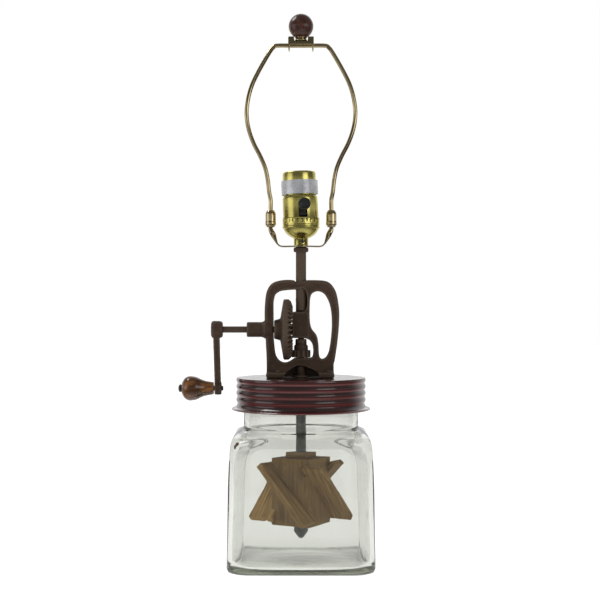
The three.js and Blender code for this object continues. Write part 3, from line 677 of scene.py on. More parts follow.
def mark_grain(mesh, matrix):
    """Stores each point in the wood's own frame, in metres, its fibres along the first axis."""
    co = np.zeros(len(mesh.vertices) * 3)
    mesh.vertices.foreach_get("co", co)
    local = matrix.inverted()
    points = co.reshape(-1, 3) @ np.array(local.to_3x3()).T + np.array(local.translation)
    layer = mesh.attributes.new("grain", "FLOAT_VECTOR", "POINT")
    layer.data.foreach_set("vector", (points * MM).ravel())


def mark_painted_light(mesh, tone):
    """Stores how far the wood's colour is moved to its light tone, from 0 to 1: painted light for a piece
    that is lit more brightly.
    """
    layer = mesh.attributes.new("tone", "FLOAT", "POINT")
    layer.data.foreach_set("value", np.full(len(mesh.vertices), float(tone)))


def piece(node, form, sharp=35, edge=2.0, grain=None, tone=0.0):
    """Shows the form in place of a CAD node, with that node's body and finish.

    An edge that turns by over sharp degrees stays crisp, and edge is how strongly the points that
    stand out are marked, for wear and for painted highlights on edges. For wood, grain is its frame
    and tone how far it is lightened, as painted light for a piece that is lit more brightly.
    """
    mesh = form if isinstance(form, bpy.types.Mesh) else mesh_of(form)
    mesh.name = node + "_fine"
    mark_edges(mesh, edge)
    if grain is not None:
        mark_grain(mesh, grain)
        mark_painted_light(mesh, tone)
    mesh.transform(Matrix.Scale(MM, 4))
    mesh.shade_smooth()
    mesh.set_sharp_from_angle(angle=math.radians(sharp))
    mesh.materials.clear()
    mesh.materials.append(LOOKS[LOOK_OF.get(node, SLOT_OF[node])])
    made = show(node + "_fine", mesh)
    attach(made, BODY_OF[node])
    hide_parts(node)


# ---- jar ----

JAR_CORNER = 14.0
JAR_CROWDING = 0.75  # how much closer the points lie at the corners than on the flats


def rounded_square(angles, half, corner):
    """Distance from the axis to the edge of a square with rounded corners."""
    near = abs((angles + TURN / 8) % (TURN / 4) - TURN / 8)
    inner = half - corner
    along = inner * (np.cos(near) + np.sin(near))
    round_part = along + np.sqrt(np.maximum(along**2 - 2 * inner**2 + corner**2, 0))
    return np.where(near <= math.atan2(inner, half), half / np.cos(near), round_part)


def make_jar():
    """A square jar with a round neck, and a floor pushed up inside its foot."""
    high = span("jar")[1]
    half = high.x
    steps = np.arange(224) * TURN / 224
    angles = steps + JAR_CROWDING * np.sin(4 * steps) / 4
    # Half width, height and corner radius, up the outside and down the inside.
    shoulder = [(68.7, 115, 14), (68.3, 120.4, 15), (67.7, 124.2, 17), (66.8, 127.2, 20),
                (64.9, 130.1, 28), (62.3, 132.4, 40), (59.8, 133.9, 50), (58.0, 134.9, 57),
                (57.2, 136.6, 57.2)]
    outside = [
        (24, 4.2, 24), (44, 2.9, 44), (53, 1.9, 53), (58.5, 0.8, 56), (60.5, 0.15, 48),
        (62.6, 0, 36), (65.3, 0.4, 25), (68.3, 1.1, 19), (70.1, 2.4, 16), (half, 6.2, JAR_CORNER),
        (half - 0.6, 36.6, JAR_CORNER), (70.1, 82.4, JAR_CORNER), (69.2, 105, JAR_CORNER), *shoulder,
        (57.2, 152.5, 57.2), (57.8, 154.6, 57.8), (60.0, 156.4, 60.0), (60.4, 158, 60.4),
        (60.4, 164.2, 60.4), (61.1, 165.4, 61.1), (61.1, 166.8, 61.1), (60.4, 168, 60.4),
        (60.4, high.z - 1.2, 60.4), (59.4, high.z, 59.4),
    ]
    inside = [
        (53.4, high.z, 53.4), (52.2, high.z - 1.2, 52.2), (52, 152, 52), (52, 137, 52),
        (53, 133.4, 51.5), (55.5, 130.8, 43), (58.4, 128.2, 33), (61, 124.6, 24),
        (62.8, 120, 18), (63.8, 114, 15), (64.4, 105, 13), (65.6, 60, 13), (66.5, 25, 13),
        (66.5, 15, 13), (66, 10.6, 15), (64.4, 7.8, 19), (61.8, 6.2, 30), (58, 5.3, 46),
        (54, 5.3, 54), (44, 6.4, 44), (24, 8.4, 24),
    ]
    rows = [np.array([[0, 0, 4.7]])]
    for h, z, corner in outside + inside:
        r = rounded_square(angles, h, min(corner, h))
        rows.append(np.stack([r * np.cos(angles), r * np.sin(angles), np.full(len(r), z)], 1))
    rows.append(np.array([[0, 0, 9.1]]))
    piece("jar", skin(rows), sharp=80)


# ---- lid ----

LID_BEADS = 4
BEAD_PITCH = 6.55
BEAD_ROOT = 62.9  # radius between the beads
BEAD_DEPTH = 1.75
BEAD_STEPS = 13
FIRST_BEAD = 2.0  # from the lid's top down to the middle of its first bead


def make_lid():
    """A pressed lid with rolled beads and a flared rim, and the gasket inside it."""
    low, high = span("lid")
    rim, top = high.x, high.z
    outer = [(0, top), (40, top), (57, top - 0.05), (60.3, top - 0.25), (60.9, top - 0.7),
             (61.4, top - 0.55), (62.6, top - 0.15)]
    first = top - FIRST_BEAD
    for i in range(LID_BEADS):
        for k in range(-6 if i else -4, 7):
            bulge = math.cos(k / BEAD_STEPS * math.pi) ** 0.6
            z = first - i * BEAD_PITCH - k * BEAD_PITCH / BEAD_STEPS
            outer.append((BEAD_ROOT + BEAD_DEPTH * bulge, z))
    skirt = first - (LID_BEADS - 0.5) * BEAD_PITCH
    outer += [(63.5, skirt - 0.6), (63.75, skirt - 1.6), (64.0, low.z + 5.2), (64.8, low.z + 3.6),
              (67.0, low.z + 2.5), (68.6, low.z + 1.9), (rim, low.z + 1.2), (68.9, low.z + 0.4),
              (67.8, low.z), (66.4, low.z + 0.4), (65.0, low.z + 1.3), (63.4, low.z + 3.0)]
    inner = [(62.6, skirt), (61.9, skirt + 3)]
    for i in reversed(range(LID_BEADS)):
        z = first - i * BEAD_PITCH
        inner.append((62.1, z - 2.2))
        inner += [(63.2, z), (62.1, z + 2.2)] if i else [(62.4, z - 0.6)]
    inner += [(61.6, top - 1), (40, top - 1), (0, top - 1)]
    piece("lid", lathe(outer + inner, around=192), sharp=50, edge=3.0)

    low, high = span("lid_gasket")
    piece("lid_gasket", turned(tube(53, 59.6, low.z, high.z), 1.0, around=128))


# ---- gear frame ----

# Outlines in the XZ plane, as (x, z).
FRAME_OUTLINE = [
    (-34.2, 184.9), (-34.4, 204), (-35.2, 222), (-36.3, 244), (-35.9, 259), (-34.2, 270.5),
    (-29.6, 278), (-23, 281), (-15, 282.1), (-6.9, 281.7), (-5.1, 280), (4.1, 281.7),
    (18.7, 281.7), (26.5, 280.3), (31.5, 276), (35.4, 268.5), (37.8, 255), (38.2, 244),
    (37, 226), (34.1, 204), (32.4, 197.4), (32.7, 184.9),
]
# The opening round the gears, with the pocket that shows the pipe's lower end.
GEAR_WINDOW = [
    (-27.3, 224), (-27.5, 260), (-26, 267.5), (-21, 271), (-13, 272), (-6.2, 272.4), (3, 273.6),
    (5.5, 269.5), (6.1, 262), (5.6, 254.5), (3.4, 250.6), (-7.2, 250.2), (-8.8, 248.6),
    (-8.8, 225.6), (-7.2, 224.1), (5, 223.8), (9, 222), (11.6, 218), (12.4, 211), (11.6, 205.6),
    (10, 204.3), (-6.4, 204.3), (-9.2, 202.2), (-13, 200), (-17.5, 199.4), (-22, 201.8),
    (-25.2, 206.5), (-26.4, 214),
]
HAND_WINDOW = [
    (20.6, 203.2), (24.6, 204.7), (27.5, 209.8), (29.4, 218.6), (30.8, 233.3), (30.8, 244.3),
    (29.7, 253.8), (27.5, 261.2), (23.9, 267.4), (20.2, 270), (16.5, 270.7), (12.1, 269.3),
    (9.6, 265.6), (8.8, 258), (8.8, 242), (10.7, 233.3), (15.5, 227), (17.3, 218.6), (18.2, 206.5),
]
ARCH = [
    (-17, 187.8), (-14.3, 190.4), (-9.1, 194.4), (-3.3, 197), (1.1, 197), (5.5, 195.9),
    (15.8, 191.1), (18, 187.8),
]
# The foot's flank: height and half depth, up from its flat edge to the bars.
PLINTH = [(190.6, 10), (193, 9.1), (196, 7.9), (198.6, 7.1)]
PLINTH_LEFT, PLINTH_RIGHT = -34.2, 32.6
FRAME_HALF = 5.2  # half the thickness of the bars at their outermost edge
BEVEL = 0.6  # how far each of the bars' layers is set in from the one outside it, and raised
BEVEL_LAYERS = 4


def make_gear_frame():
    """The cast frame that carries the gears and the lamp pipe, with its foot's screws."""
    shaft_low, shaft_high = span("crank_shaft")
    axis_z = middle("crank_shaft")[2]
    shaft_r = (shaft_high.z - shaft_low.z) / 2 + 0.4
    base = span("gear_frame")[0].z
    outline = [FRAME_OUTLINE[0], *smooth_line(FRAME_OUTLINE[1:-1], 3), FRAME_OUTLINE[-1]]
    gear = soften(GEAR_WINDOW, 2.2, closed=True)
    hand = smooth_line(HAND_WINDOW, 3, closed=True)
    plinth = [
        np.array([(PLINTH_LEFT, -y, z), (PLINTH_RIGHT, -y, z), (PLINTH_RIGHT, y, z), (PLINTH_LEFT, y, z)])
        for z, y in [(base, PLINTH[0][1]), *PLINTH]
    ]
    # The bars' edges are bevelled, in steps that the casting smooths into a slope.
    bars = []
    for k in range(BEVEL_LAYERS):
        half = FRAME_HALF + BEVEL * k
        bars.append(prism(inset(outline, BEVEL * k), -half, half, [gear, hand]))
    pocket_back = block((-5.1, 5, 248), (8.5, 9.5, 276), 1.0)  # behind the pipe's lower end
    bearing = block((-8.8, -7.7, 224.1), (8.4, 7.7, 250.2), 1.0)  # for the shaft and the spindle
    foot = block((-34.6, -19, base), (33, 19, 190.4), 1.6)
    sleeve = lathe(
        [(0, -54.2), (7.0, -54.2), (7.5, -53.6), (7.5, -39.2), (8.0, -37.8), (8.8, -36.6),
         (9.0, -33), (8.4, -29), (0, -27.6)],
        64, ALONG_X, (0, 0, axis_z),
    )
    body = cast(merged(*bars, pocket_back, bearing, skin(plinth, capped=True), foot, sleeve), 0.6, 7)
    # The arch is a pocket, open at the front and below, with room for the bush's flange.
    arch = prism([(ARCH[0][0], base - 2), *smooth_line(ARCH, 3), (ARCH[-1][0], base - 2)], -21, 4.7)
    flange_room = lathe(tube(0, 8.6, base - 2, base + 2.4), 48)
    shaft_bores = [
        lathe(tube(0, shaft_r, left, right), 48, ALONG_X, (0, 0, axis_z))
        for left, right in ((-60, -24), (-11, 2.5))
    ]
    spindle_bore = lathe(tube(0, 3.4, 190, 227.4), 48)
    pipe_bore = lathe(tube(0, 5.55, 251.2, 290), 48)
    cord_bore = lathe(tube(0, 3.5, 4, 14), 32, ALONG_Y, (0, 0, 262))
    body = cut(body, arch, flange_room, *shaft_bores, spindle_bore, pipe_bore, cord_bore)
    piece("gear_frame", body, sharp=50, edge=4)
    for i in range(1, 5):
        make_screw(i)


def make_screw(number):
    """One of the foot's slotted screws, and its hexagonal nut under the lid."""
    low, high = span(f"frame_screw_{number}")
    x, y, _ = middle(f"frame_screw_{number}")
    top = high.z
    head = turned(
        [(0, low.z), (1.9, low.z), (1.9, top - 2), (3, top - 2), (3, top - 1.3), (2.4, top - 0.4),
         (1.2, top - 0.05), (0, top)],
        0.25, around=40, at=(x, y, 0),
    )
    turn = Matrix.Translation((x, y, 0)) @ Matrix.Rotation(0.7 * number, 4, "Z")
    slot = moved(block((-4, -0.4, top - 0.9), (4, 0.4, top + 1), 0.1), turn)
    piece(f"frame_screw_{number}", cut(mesh_of(head), slot), sharp=30)

    low, high = span(f"frame_nut_{number}")
    radius = (high.x - low.x) / 2

    def six_sides(angles, r, z):
        """A hexagon with that radius to its corners, turned off round at its ends."""
        flats = radius * math.cos(TURN / 12) / np.cos((angles + TURN / 12) % (TURN / 6) - TURN / 12)
        chamfer = np.minimum(flats, np.where(r > 3, r + 0.35, r))
        return np.where(r > 2.4, chamfer, r), z

    nut = lathe(
        [(1.95, low.z), (3.1, low.z), (3.7, low.z + 0.4), (3.7, high.z - 0.4), (3.1, high.z),
         (1.95, high.z)],
        48, form=six_sides, at=(x, y, 0),
    )
    piece(f"frame_nut_{number}", nut, sharp=25)


# ---- crank, gears and grip ----

CROWN_TEETH = 36
PINION_TEETH = 12


def tooth_wave(angles, teeth, narrow=0.0, phase=0.0):
    """From 0 between teeth to 1 on a tooth's tip, with sloping flanks."""
    wave = np.cos((angles - phase) * teeth)
    return np.clip((wave - narrow) / 0.55 + 0.5, 0, 1)


def make_crank():
    """The crank's shaft, the crown gear pinned to it, and the arm."""
    low, high = span("crank_shaft")
    centre = (0, 0, middle("crank_shaft")[2])
    r = high.y
    shaft = [(0, low.x), (r - 0.5, low.x), (r, low.x + 0.6), (r, high.x - 0.6), (r - 0.5, high.x),
             (0, high.x)]
    piece("crank_shaft", turned(shaft, 0.3, around=48, axis=ALONG_X, at=centre))

    low, high = span("crown_gear")
    rim = (high.z - low.z) / 2
    tip = high.x
    face, back = tip - 3.2, tip - 12.4
    reach = [22.8, 28.2, rim - 0.1]
    tips, valleys = [tip, tip - 1.9, tip - 4.2], [face, tip - 3.9, tip - 5.4]

    def teeth(angles, radius, height):
        """Teeth on the sloping face of the rim. Height runs along +X here."""
        on = (radius >= reach[0]) & (radius <= reach[-1]) & (height > tip - 5.5)
        top, root = np.interp(radius, reach, tips), np.interp(radius, reach, valleys)
        return radius, np.where(on, root + (top - root) * tooth_wave(angles, CROWN_TEETH), height)

    on_face = [(r, tip - 1) for r in (reach[-1], 29.3, 28.2, 27, 25.4, 24, reach[0])]
    crown = lathe(
        [(3.6, low.x), (8.8, low.x), (9.3, low.x + 0.6), (10.8, back - 0.8), (11.8, back - 0.1),
         (13.5, back + 0.2), (rim - 1.8, back + 2.7), (rim - 0.5, back + 3.2), (rim, back + 3.9),
         (rim, tip - 5.8), *on_face, (22.6, face - 0.05),
         (21.4, face - 0.6), (19.5, face - 1.8), (10, face - 2.1), (6.2, face - 2),
         (5.2, face - 1.4), (5, face - 0.4), (5, -9.3), (4.7, -9.1), (3.6, -9.1)],
        around=432, axis=ALONG_X, at=centre, form=teeth,
    )
    piece("crown_gear", crown, sharp=32, edge=3.0)
    low, high = span("gear_pin")
    pin = tube(0, (high.x - low.x) / 2, low.z, high.z)
    piece("gear_pin", turned(pin, 0.4, around=24, at=(middle("gear_pin")[0], 0, 0)))
    make_arm(centre)


def make_arm(centre):
    """The crank's tapered arm, with a hub round the shaft and an eye round the grip's pin."""
    low, high = span("crank_arm")
    pin_z = middle("grip_pin")[2]
    length = centre[2] - pin_z
    path, sections = [], []
    for t in np.linspace(0, 1, 24):
        path.append((-84.7 + 1.9 * t, 0, centre[2] - t * (length + 6.2)))
        wide = 5.7 - 1.2 * t
        sections.append([
            (-3.2, -wide * 0.55), (-2.3, -wide), (2.2, -wide), (3.0, -wide * 0.72),
            (3.0, wide * 0.72), (2.2, wide), (-2.3, wide), (-3.2, wide * 0.55),
        ])
    steps = len(path)
    across, up = np.tile([1.0, 0, 0], (steps, 1)), np.tile([0, 1.0, 0], (steps, 1))
    arm = sweep(path, across, up, sections)
    hub = lathe(
        [(0, low.x + 0.1), (6.9, low.x + 0.1), (8.3, low.x + 1.2), (8.6, low.x + 3.4),
         (8.4, high.x - 2.6), (7.9, high.x - 0.9), (6.9, high.x - 0.1), (0, high.x - 0.1)],
        48, ALONG_X, centre,
    )
    eye = lathe(
        [(0, -86.3), (5.8, -86.3), (6.4, -85.6), (6.4, -80.2), (5.8, -79.5), (0, -79.5)],
        40, ALONG_X, (0, 0, pin_z),
    )
    body = roughened(cast(merged(arm, hub, eye), 0.42, 5), 1.6, 0.35, 3)
    shaft_bore = lathe(tube(0, span("crank_shaft")[1].y + 0.05, -92, -75), 40, ALONG_X, centre)
    pin_bore = lathe(tube(0, 2.7, -92, -75), 40, ALONG_X, (0, 0, pin_z))
    piece("crank_arm", cut(body, shaft_bore, pin_bore), sharp=50, edge=3.5)


# Radius, and place along X from the outer end.
GRIP_PROFILE = [
    (5, -119.25), (7.6, -118), (10.3, -116), (12.0, -113), (12.4, -110.3), (11.6, -105),
    (10.2, -101.8), (8.9, -99), (7.8, -96), (7.1, -93), (6.6, -90), (6.2, -87.6),
]


def make_grip():
    """The pear-shaped wooden grip, and the headed pin that it turns on."""
    low, high = span("handle_grip")
    centre = (0, 0, middle("handle_grip")[2])
    profile = [(2.8, low.x), (4.2, low.x + 0.02), *smooth_line(GRIP_PROFILE, 5), (5.9, high.x - 0.1),
               (5.2, high.x), (2.8, high.x)]
    grip = lathe(profile, 96, ALONG_X, centre)
    piece("handle_grip", grip, sharp=50, grain=Matrix.Translation((-100, 3, centre[2] - 4)))

    low, high = span("grip_pin")
    r = high.y
    pin = [(0, low.x), (1.6, low.x + 0.08), (3.0, low.x + 0.5), (r, low.x + 1.4), (r, low.x + 2.7),
           (2.4, low.x + 2.9), (2.4, high.x - 0.5), (2.0, high.x), (0, high.x)]
    piece("grip_pin", turned(pin, 0.35, around=48, axis=ALONG_X, at=centre))


# ---- spindle, pinion and dasher ----


def cross_pin(node):
    """A small pin along Y."""
    low, high = span(node)
    pin = tube(0, (high.x - low.x) / 2, low.y, high.y)
    piece(node, turned(pin, 0.3, around=24, axis=ALONG_Y, at=(0, 0, middle(node)[2])))


def make_spindle():
    """The upright spindle with its pinion, and the rod that carries the dasher."""
    low, high = span("spindle")
    piece("spindle", turned(tube(0, 3, low.z, high.z), 0.5, around=48))
    cross_pin("pinion_pin")
    cross_pin("coupling_pin")

    low, high = span("pinion")
    bottom, top = low.z, high.z
    gear_top = bottom + 7.2
    root = 7.05

    def teeth(angles, radius, height):
        """Straight teeth that stand out from the gear's root."""
        wave = tooth_wave(angles, PINION_TEETH, 0.1, TURN / 2 / PINION_TEETH)
        return np.where(radius > root, root + (radius - root) * wave, radius), height

    profile = [
        (3.1, bottom), (6.6, bottom), (9.1, bottom), (9.65, bottom + 0.5), (9.65, gear_top - 0.5),
        (9.1, gear_top), (7.0, gear_top), (7.0, gear_top + 0.5), (6.9, 216), (6.5, 216.8),
        (5.7, 217.4), (5.6, 219), (5.6, top - 0.6), (5.1, top), (3.1, top),
    ]
    piece("pinion", lathe(profile, 192, form=teeth), sharp=32, edge=3.0)

    low, high = span("dasher_rod")
    shoulder = span("dasher_cap")[1].z + 0.3
    socket = high.z - 20
    rod = [(0, low.z), (4, low.z), (4, shoulder), (5, shoulder), (5, high.z), (3.4, high.z),
           (3.4, socket), (0, socket)]
    piece("dasher_rod", turned(rod, 0.45, around=48))


DASHER_YAW = -30.0
BLADE_PITCH = 44.0
BLADE_T = 6.2
SLOT_GAP = 0.35
HUB_HALF = 21.5
CAP_HALF = 11.3
BLADE_MIDDLE = (0, 0, 72)


def blade_frame(number):
    """A blade's own frame: +X out from the hub, +Z along its length."""
    yaw = Matrix.Rotation(math.radians(DASHER_YAW + 90 * number), 4, "Z")
    return yaw @ Matrix.Translation(BLADE_MIDDLE) @ Matrix.Rotation(math.radians(BLADE_PITCH), 4, "X")


# Each blade's outline: distance from the axis, and height along its length.
BLADES = [
    [(16.9, -38.5), (44, -38.5), (42.4, -14), (40.4, 12), (39, 30), (37, 36.6), (31, 38.5), (16.9, 38.5)],
    [(16.9, -38.5), (44, -38), (42.6, -16), (40.6, 8), (38, 38.5), (16.9, 38.5)],
    [(16.9, -38.5), (24, -38.5), (25, -35), (26.2, -38.5), (44, -38.5), (41.4, -6), (38, 38.1),
     (16.9, 38.5)],
    [(16.9, -38.5), (43.4, -38.5), (43.8, -34.5), (41.2, -4), (38, 38.5), (16.9, 38.5)],
]
# How much lighter each blade is than the hub, from 0 to 1: painted light, for how brightly each blade is
# lit.
BLADE_PAINTED_LIGHT = [0.45, 0.45, 1.0, 0.48]


def make_blade(number):
    """A sawn board: an outline given thickness, with worn corners and a slight warp."""
    outline = soften(BLADES[number], 0.7, closed=True, steps=2)
    board = roughened(cast(prism(outline, -BLADE_T / 2, BLADE_T / 2), 0.7, 2), 9, 0.5, 2)
    where = blade_frame(number)
    board.transform(where)
    along = where @ Matrix.Rotation(math.radians(-90), 4, "Y") @ Matrix.Translation((60 * number, 9, 4))
    piece(f"dasher_blade_{number + 1}", board, sharp=40, edge=1.2, grain=along,
          tone=BLADE_PAINTED_LIGHT[number])


def make_dasher():
    """The wooden dasher: a square hub with four slanting blades, its cap and its nut."""
    for number in range(4):
        make_blade(number)
    yaw = Matrix.Rotation(math.radians(DASHER_YAW), 4, "Z")
    low, high = span("dasher_hub")
    half = HUB_HALF
    hub = mesh_of(moved(block((-half, -half, low.z), (half, half, high.z), 0.7), yaw))
    slot_half = BLADE_T / 2 + SLOT_GAP
    slot = block((16, -slot_half, -44), (30, slot_half, 44), 0.1)
    hub = cut(hub, *(moved(slot, blade_frame(number)) for number in range(4)))
    upright = yaw @ Matrix.Rotation(math.radians(-90), 4, "Y") @ Matrix.Translation((0, 31, -17))
    piece("dasher_hub", hub, sharp=30, grain=upright)

    low, high = span("dasher_cap")
    half = CAP_HALF
    cap = moved(block((-half, -half, low.z), (half, half, high.z), 0.6), yaw)
    piece("dasher_cap", cap, sharp=30, grain=yaw @ Matrix.Translation((5, 12, 60)))

    low, high = span("dasher_nut")

    def facets(angles, radius, height):
        """Six flats on all but the nut's collar."""
        flat = np.cos((angles + 0.4 + TURN / 12) % (TURN / 6) - TURN / 12)
        return radius * np.where(height < high.z - 2, 0.93 / flat, 1), height

    nut = lathe(
        [(0, low.z), (1.5, low.z + 0.15), (2.4, low.z + 0.7), (5.6, low.z + 5), (6.8, low.z + 7.2),
         (6.9, low.z + 8), (6.9, high.z - 1.9), (7, high.z - 0.5), (6.6, high.z), (4.4, high.z),
         (4.4, high.z - 4), (0, high.z - 4)],
        96, form=facets,
    )
    piece("dasher_nut", nut, sharp=24)


# ---- pipe, cord outlet and bush ----


def make_pipe():
    """The lamp pipe and its ring, the cord's bushing behind it, and the bush below it."""
    low, high = span("lamp_pipe")
    piece("lamp_pipe", turned(tube(3.8, high.x, low.z, high.z), 0.4, around=64))

    low, high = span("check_ring")
    r = high.x
    ring = [(5.3, low.z), (6.4, low.z), (r - 0.1, low.z + 0.9), (r, low.z + 1.6), (r, high.z - 1.4),
            (r - 0.2, high.z - 0.8), (6.5, high.z), (5.3, high.z)]
    piece("check_ring", turned(ring, 0.4, around=72))

    low, high = span("cord_bushing")
    z = middle("cord_bushing")[2]
    bushing = [(2.1, low.y), (3.1, low.y), (3.1, 9.8), (5.2, 9.8), (5.4, 10.1), (5.4, 11),
               (4.6, 11.9), (3.4, high.y), (2.4, high.y - 0.1), (2.1, high.y - 0.6)]
    piece("cord_bushing", turned(bushing, 0.2, around=48, axis=ALONG_Y, at=(0, 0, z)))

    low, high = span("spindle_bush")
    base = span("gear_frame")[0].z
    flange = base + 1.8
    bush = [(3.4, low.z), (5.5, low.z), (5.5, base), (8, base), (8, flange), (4.1, flange),
            (4.1, high.z), (3.4, high.z)]
    piece("spindle_bush", turned(bush, 0.35, around=48))


# ---- harp ----

LEG_X = 30.3
WIRE_R = 2.15
# The wire's right half above the straight foot of its leg, as (x, z).
HARP_HALF = [
    (LEG_X, 362), (31.8, 370), (33.2, 382), (35.8, 394), (40.8, 406), (47, 418), (51.5, 430),
    (54, 442), (54.2, 453), (52.2, 466), (48.5, 478), (42.7, 490), (36, 502), (30.9, 510.4),
    (28.2, 513.9), (24, 516.3),
]


def make_harp():
    """The harp's wire, the saddle that holds its legs, the ferrules on them, and the swivel."""
    foot = span("harp_wire")[0].z
    right = [(LEG_X, foot), (LEG_X, foot + 9), *HARP_HALF]
    top = right[-1][1]
    whole = right + [(8, top), (-8, top)] + [(-x, z) for x, z in reversed(right)]
    path = smooth_line([(x, 0, z) for x, z in whole], 7)
    across, up = plane_frames(path)
    sections = [oval(WIRE_R, WIRE_R)] * len(path)
    piece("harp_wire", sweep(path, across, up, sections), sharp=50)
    make_saddle()
    for side in ("left", "right"):
        make_ferrule("ferrule_" + side)
    make_swivel()


def make_saddle():
    """A bent strap, flat under the socket and rounder towards the posts that hold the legs."""
    low, high = span("harp_saddle")
    line = [(0, low.z + 0.8), (10, low.z + 0.8), (19.4, low.z + 0.8), (23.2, low.z + 3.0),
            (25.6, low.z + 7.5), (28.0, low.z + 13), (30.2, low.z + 17.6), (LEG_X, low.z + 21)]
    half = [(x, 0, z) for x, z in line]
    path = smooth_line([(-x, y, z) for x, y, z in half[:0:-1]] + half, 8)
    across, up = plane_frames(path)
    sections = []
    for x, _, z in path:
        rise = min(max((z - low.z - 3) / 9, 0), 1)
        narrow = min(max((z - low.z - 15) / 5, 0), 1)
        thick = 0.8 + 2.0 * rise - 0.8 * narrow
        deep = 4.2 - 0.9 * rise - 1.3 * narrow
        sections.append(oval(thick, deep, 5 - 2.4 * rise, 28))
    strap = sweep(path, across, up, sections)
    post = tube(0, 2, low.z + 18, high.z)
    posts = [turned(post, 0.4, around=32, at=(x, 0, 0)) for x in (-LEG_X, LEG_X)]
    seat = turned(tube(0, 9, low.z, low.z + 1.6), 0.4, around=64)
    body = cast(merged(strap, seat, *posts), 0.3, 2)
    bore = lathe(tube(0, 5.5, low.z - 2, low.z + 4), 48)
    piece("harp_saddle", cut(body, bore), sharp=50)


def make_ferrule(node):
    """A sleeve with a narrow foot and a rounded top, which slides on one of the harp's legs."""
    low, high = span(node)
    r = (high.x - low.x) / 2
    profile = [
        (2.5, low.z), (3.6, low.z), (4.2, low.z + 0.6), (4.5, low.z + 1.6), (r - 0.2, low.z + 2.1),
        (r, low.z + 3.0), (r, low.z + 4.6), (r - 0.2, low.z + 6), (r - 0.25, high.z - 3.6),
        (r - 0.6, high.z - 2.2), (r - 1.5, high.z - 0.8), (3.4, high.z), (2.5, high.z),
    ]
    piece(node, turned(profile, 0.35, around=64, at=(middle(node)[0], 0, 0)))


SWIVEL_HALF_X = 12.8
SWIVEL_HALF_Y = 5.5
STUD_PITCH = 0.9


def make_swivel():
    """The folded plate on top of the harp, with its cheeks, and the finial's threaded stud."""
    low, high = span("harp_swivel")
    plate_top = span("finial_base")[0].z - 0.3
    plate_low = plate_top - 1.6
    ear_top = plate_top + 4.2
    half_x, half_y = SWIVEL_HALF_X, SWIVEL_HALF_Y
    side = [
        (-half_x, plate_low - 4.5), (-12.1, low.z + 0.1), (-11.5, low.z + 0.5), (-10.9, plate_low - 2),
        (10.9, plate_low - 2), (11.5, low.z + 0.5), (12.1, low.z + 0.1), (half_x, plate_low - 4.5),
        (half_x, ear_top), (7, ear_top), (6.6, plate_top - 0.2), (-6.6, plate_top - 0.2),
        (-7, ear_top), (-half_x, ear_top),
    ]
    outline = soften(side, 0.7, closed=True, steps=2)
    stud = [(0, plate_low), (2.6, plate_low), (2.6, plate_top)]
    z = plate_top
    while z < high.z - 1.2:
        stud += [(2.9, z + 0.3), (2.45, z + 0.6)]
        z += STUD_PITCH
    stud += [(2.4, high.z - 0.3), (2.0, high.z), (0, high.z)]
    cheeks = [prism(outline, near, near + 1.1) for near in (-5.9, 4.8)]
    plate = block((-half_x, -half_y, plate_low), (half_x, half_y, plate_top), 0.3)
    ears = [
        block((left, -half_y, plate_low), (left + 1.1, half_y, ear_top), 0.3) for left in (6.9, -8.0)
    ]
    body = cast(merged(*cheeks, plate, *ears, lathe(stud, 40)), 0.24, 2)
    piece("harp_swivel", body, sharp=50)


# ---- finial ----


def make_finial():
    """The finial: a turned wooden ball on a metal base, both bored for the harp's stud."""
    low, high = span("finial_ball")
    r = high.x
    centre = high.z - r
    bottom = low.z
    bore_top = 532.4
    start = math.asin((bottom - centre) / r)
    arc = [(r * math.cos(t), centre + r * math.sin(t)) for t in np.linspace(start, math.pi / 2, 40)]
    arc[-1] = (0, high.z)
    profile = [(0, bore_top), (3.3, bore_top), (3.3, bottom), (arc[0][0] - 0.5, bottom), *arc]
    grain = Matrix.Rotation(1.2, 4, "Y") @ Matrix.Translation((0, 5, 540))
    piece("finial_ball", lathe(profile, 96), sharp=40, grain=grain)

    low, high = span("finial_base")
    r = high.x
    ring = [(3.3, low.z), (5.4, low.z), (r, low.z + 0.6), (r, low.z + 1.5), (5.2, low.z + 2.1),
            (5.0, low.z + 2.7), (5.9, low.z + 3.2), (r - 0.1, high.z - 0.4), (5.7, high.z), (3.3, high.z)]
    piece("finial_base", turned(ring, 0.3, around=64))


# ---- socket ----

# The upper shell and what it holds lean together, about a point at this height.
LEAN_Z = 341.0
LEAN = Matrix.Translation((0, 0, LEAN_Z)) @ Matrix.Rotation(math.radians(-2.5), 4, "Y")
KNOB_TURN = Matrix.Rotation(math.radians(8), 4, "Z")
KNOB_Z = 356.0
STEP_Z = 366.5
SHELL_TOP_Z = 390.2
CRIMPS = 25


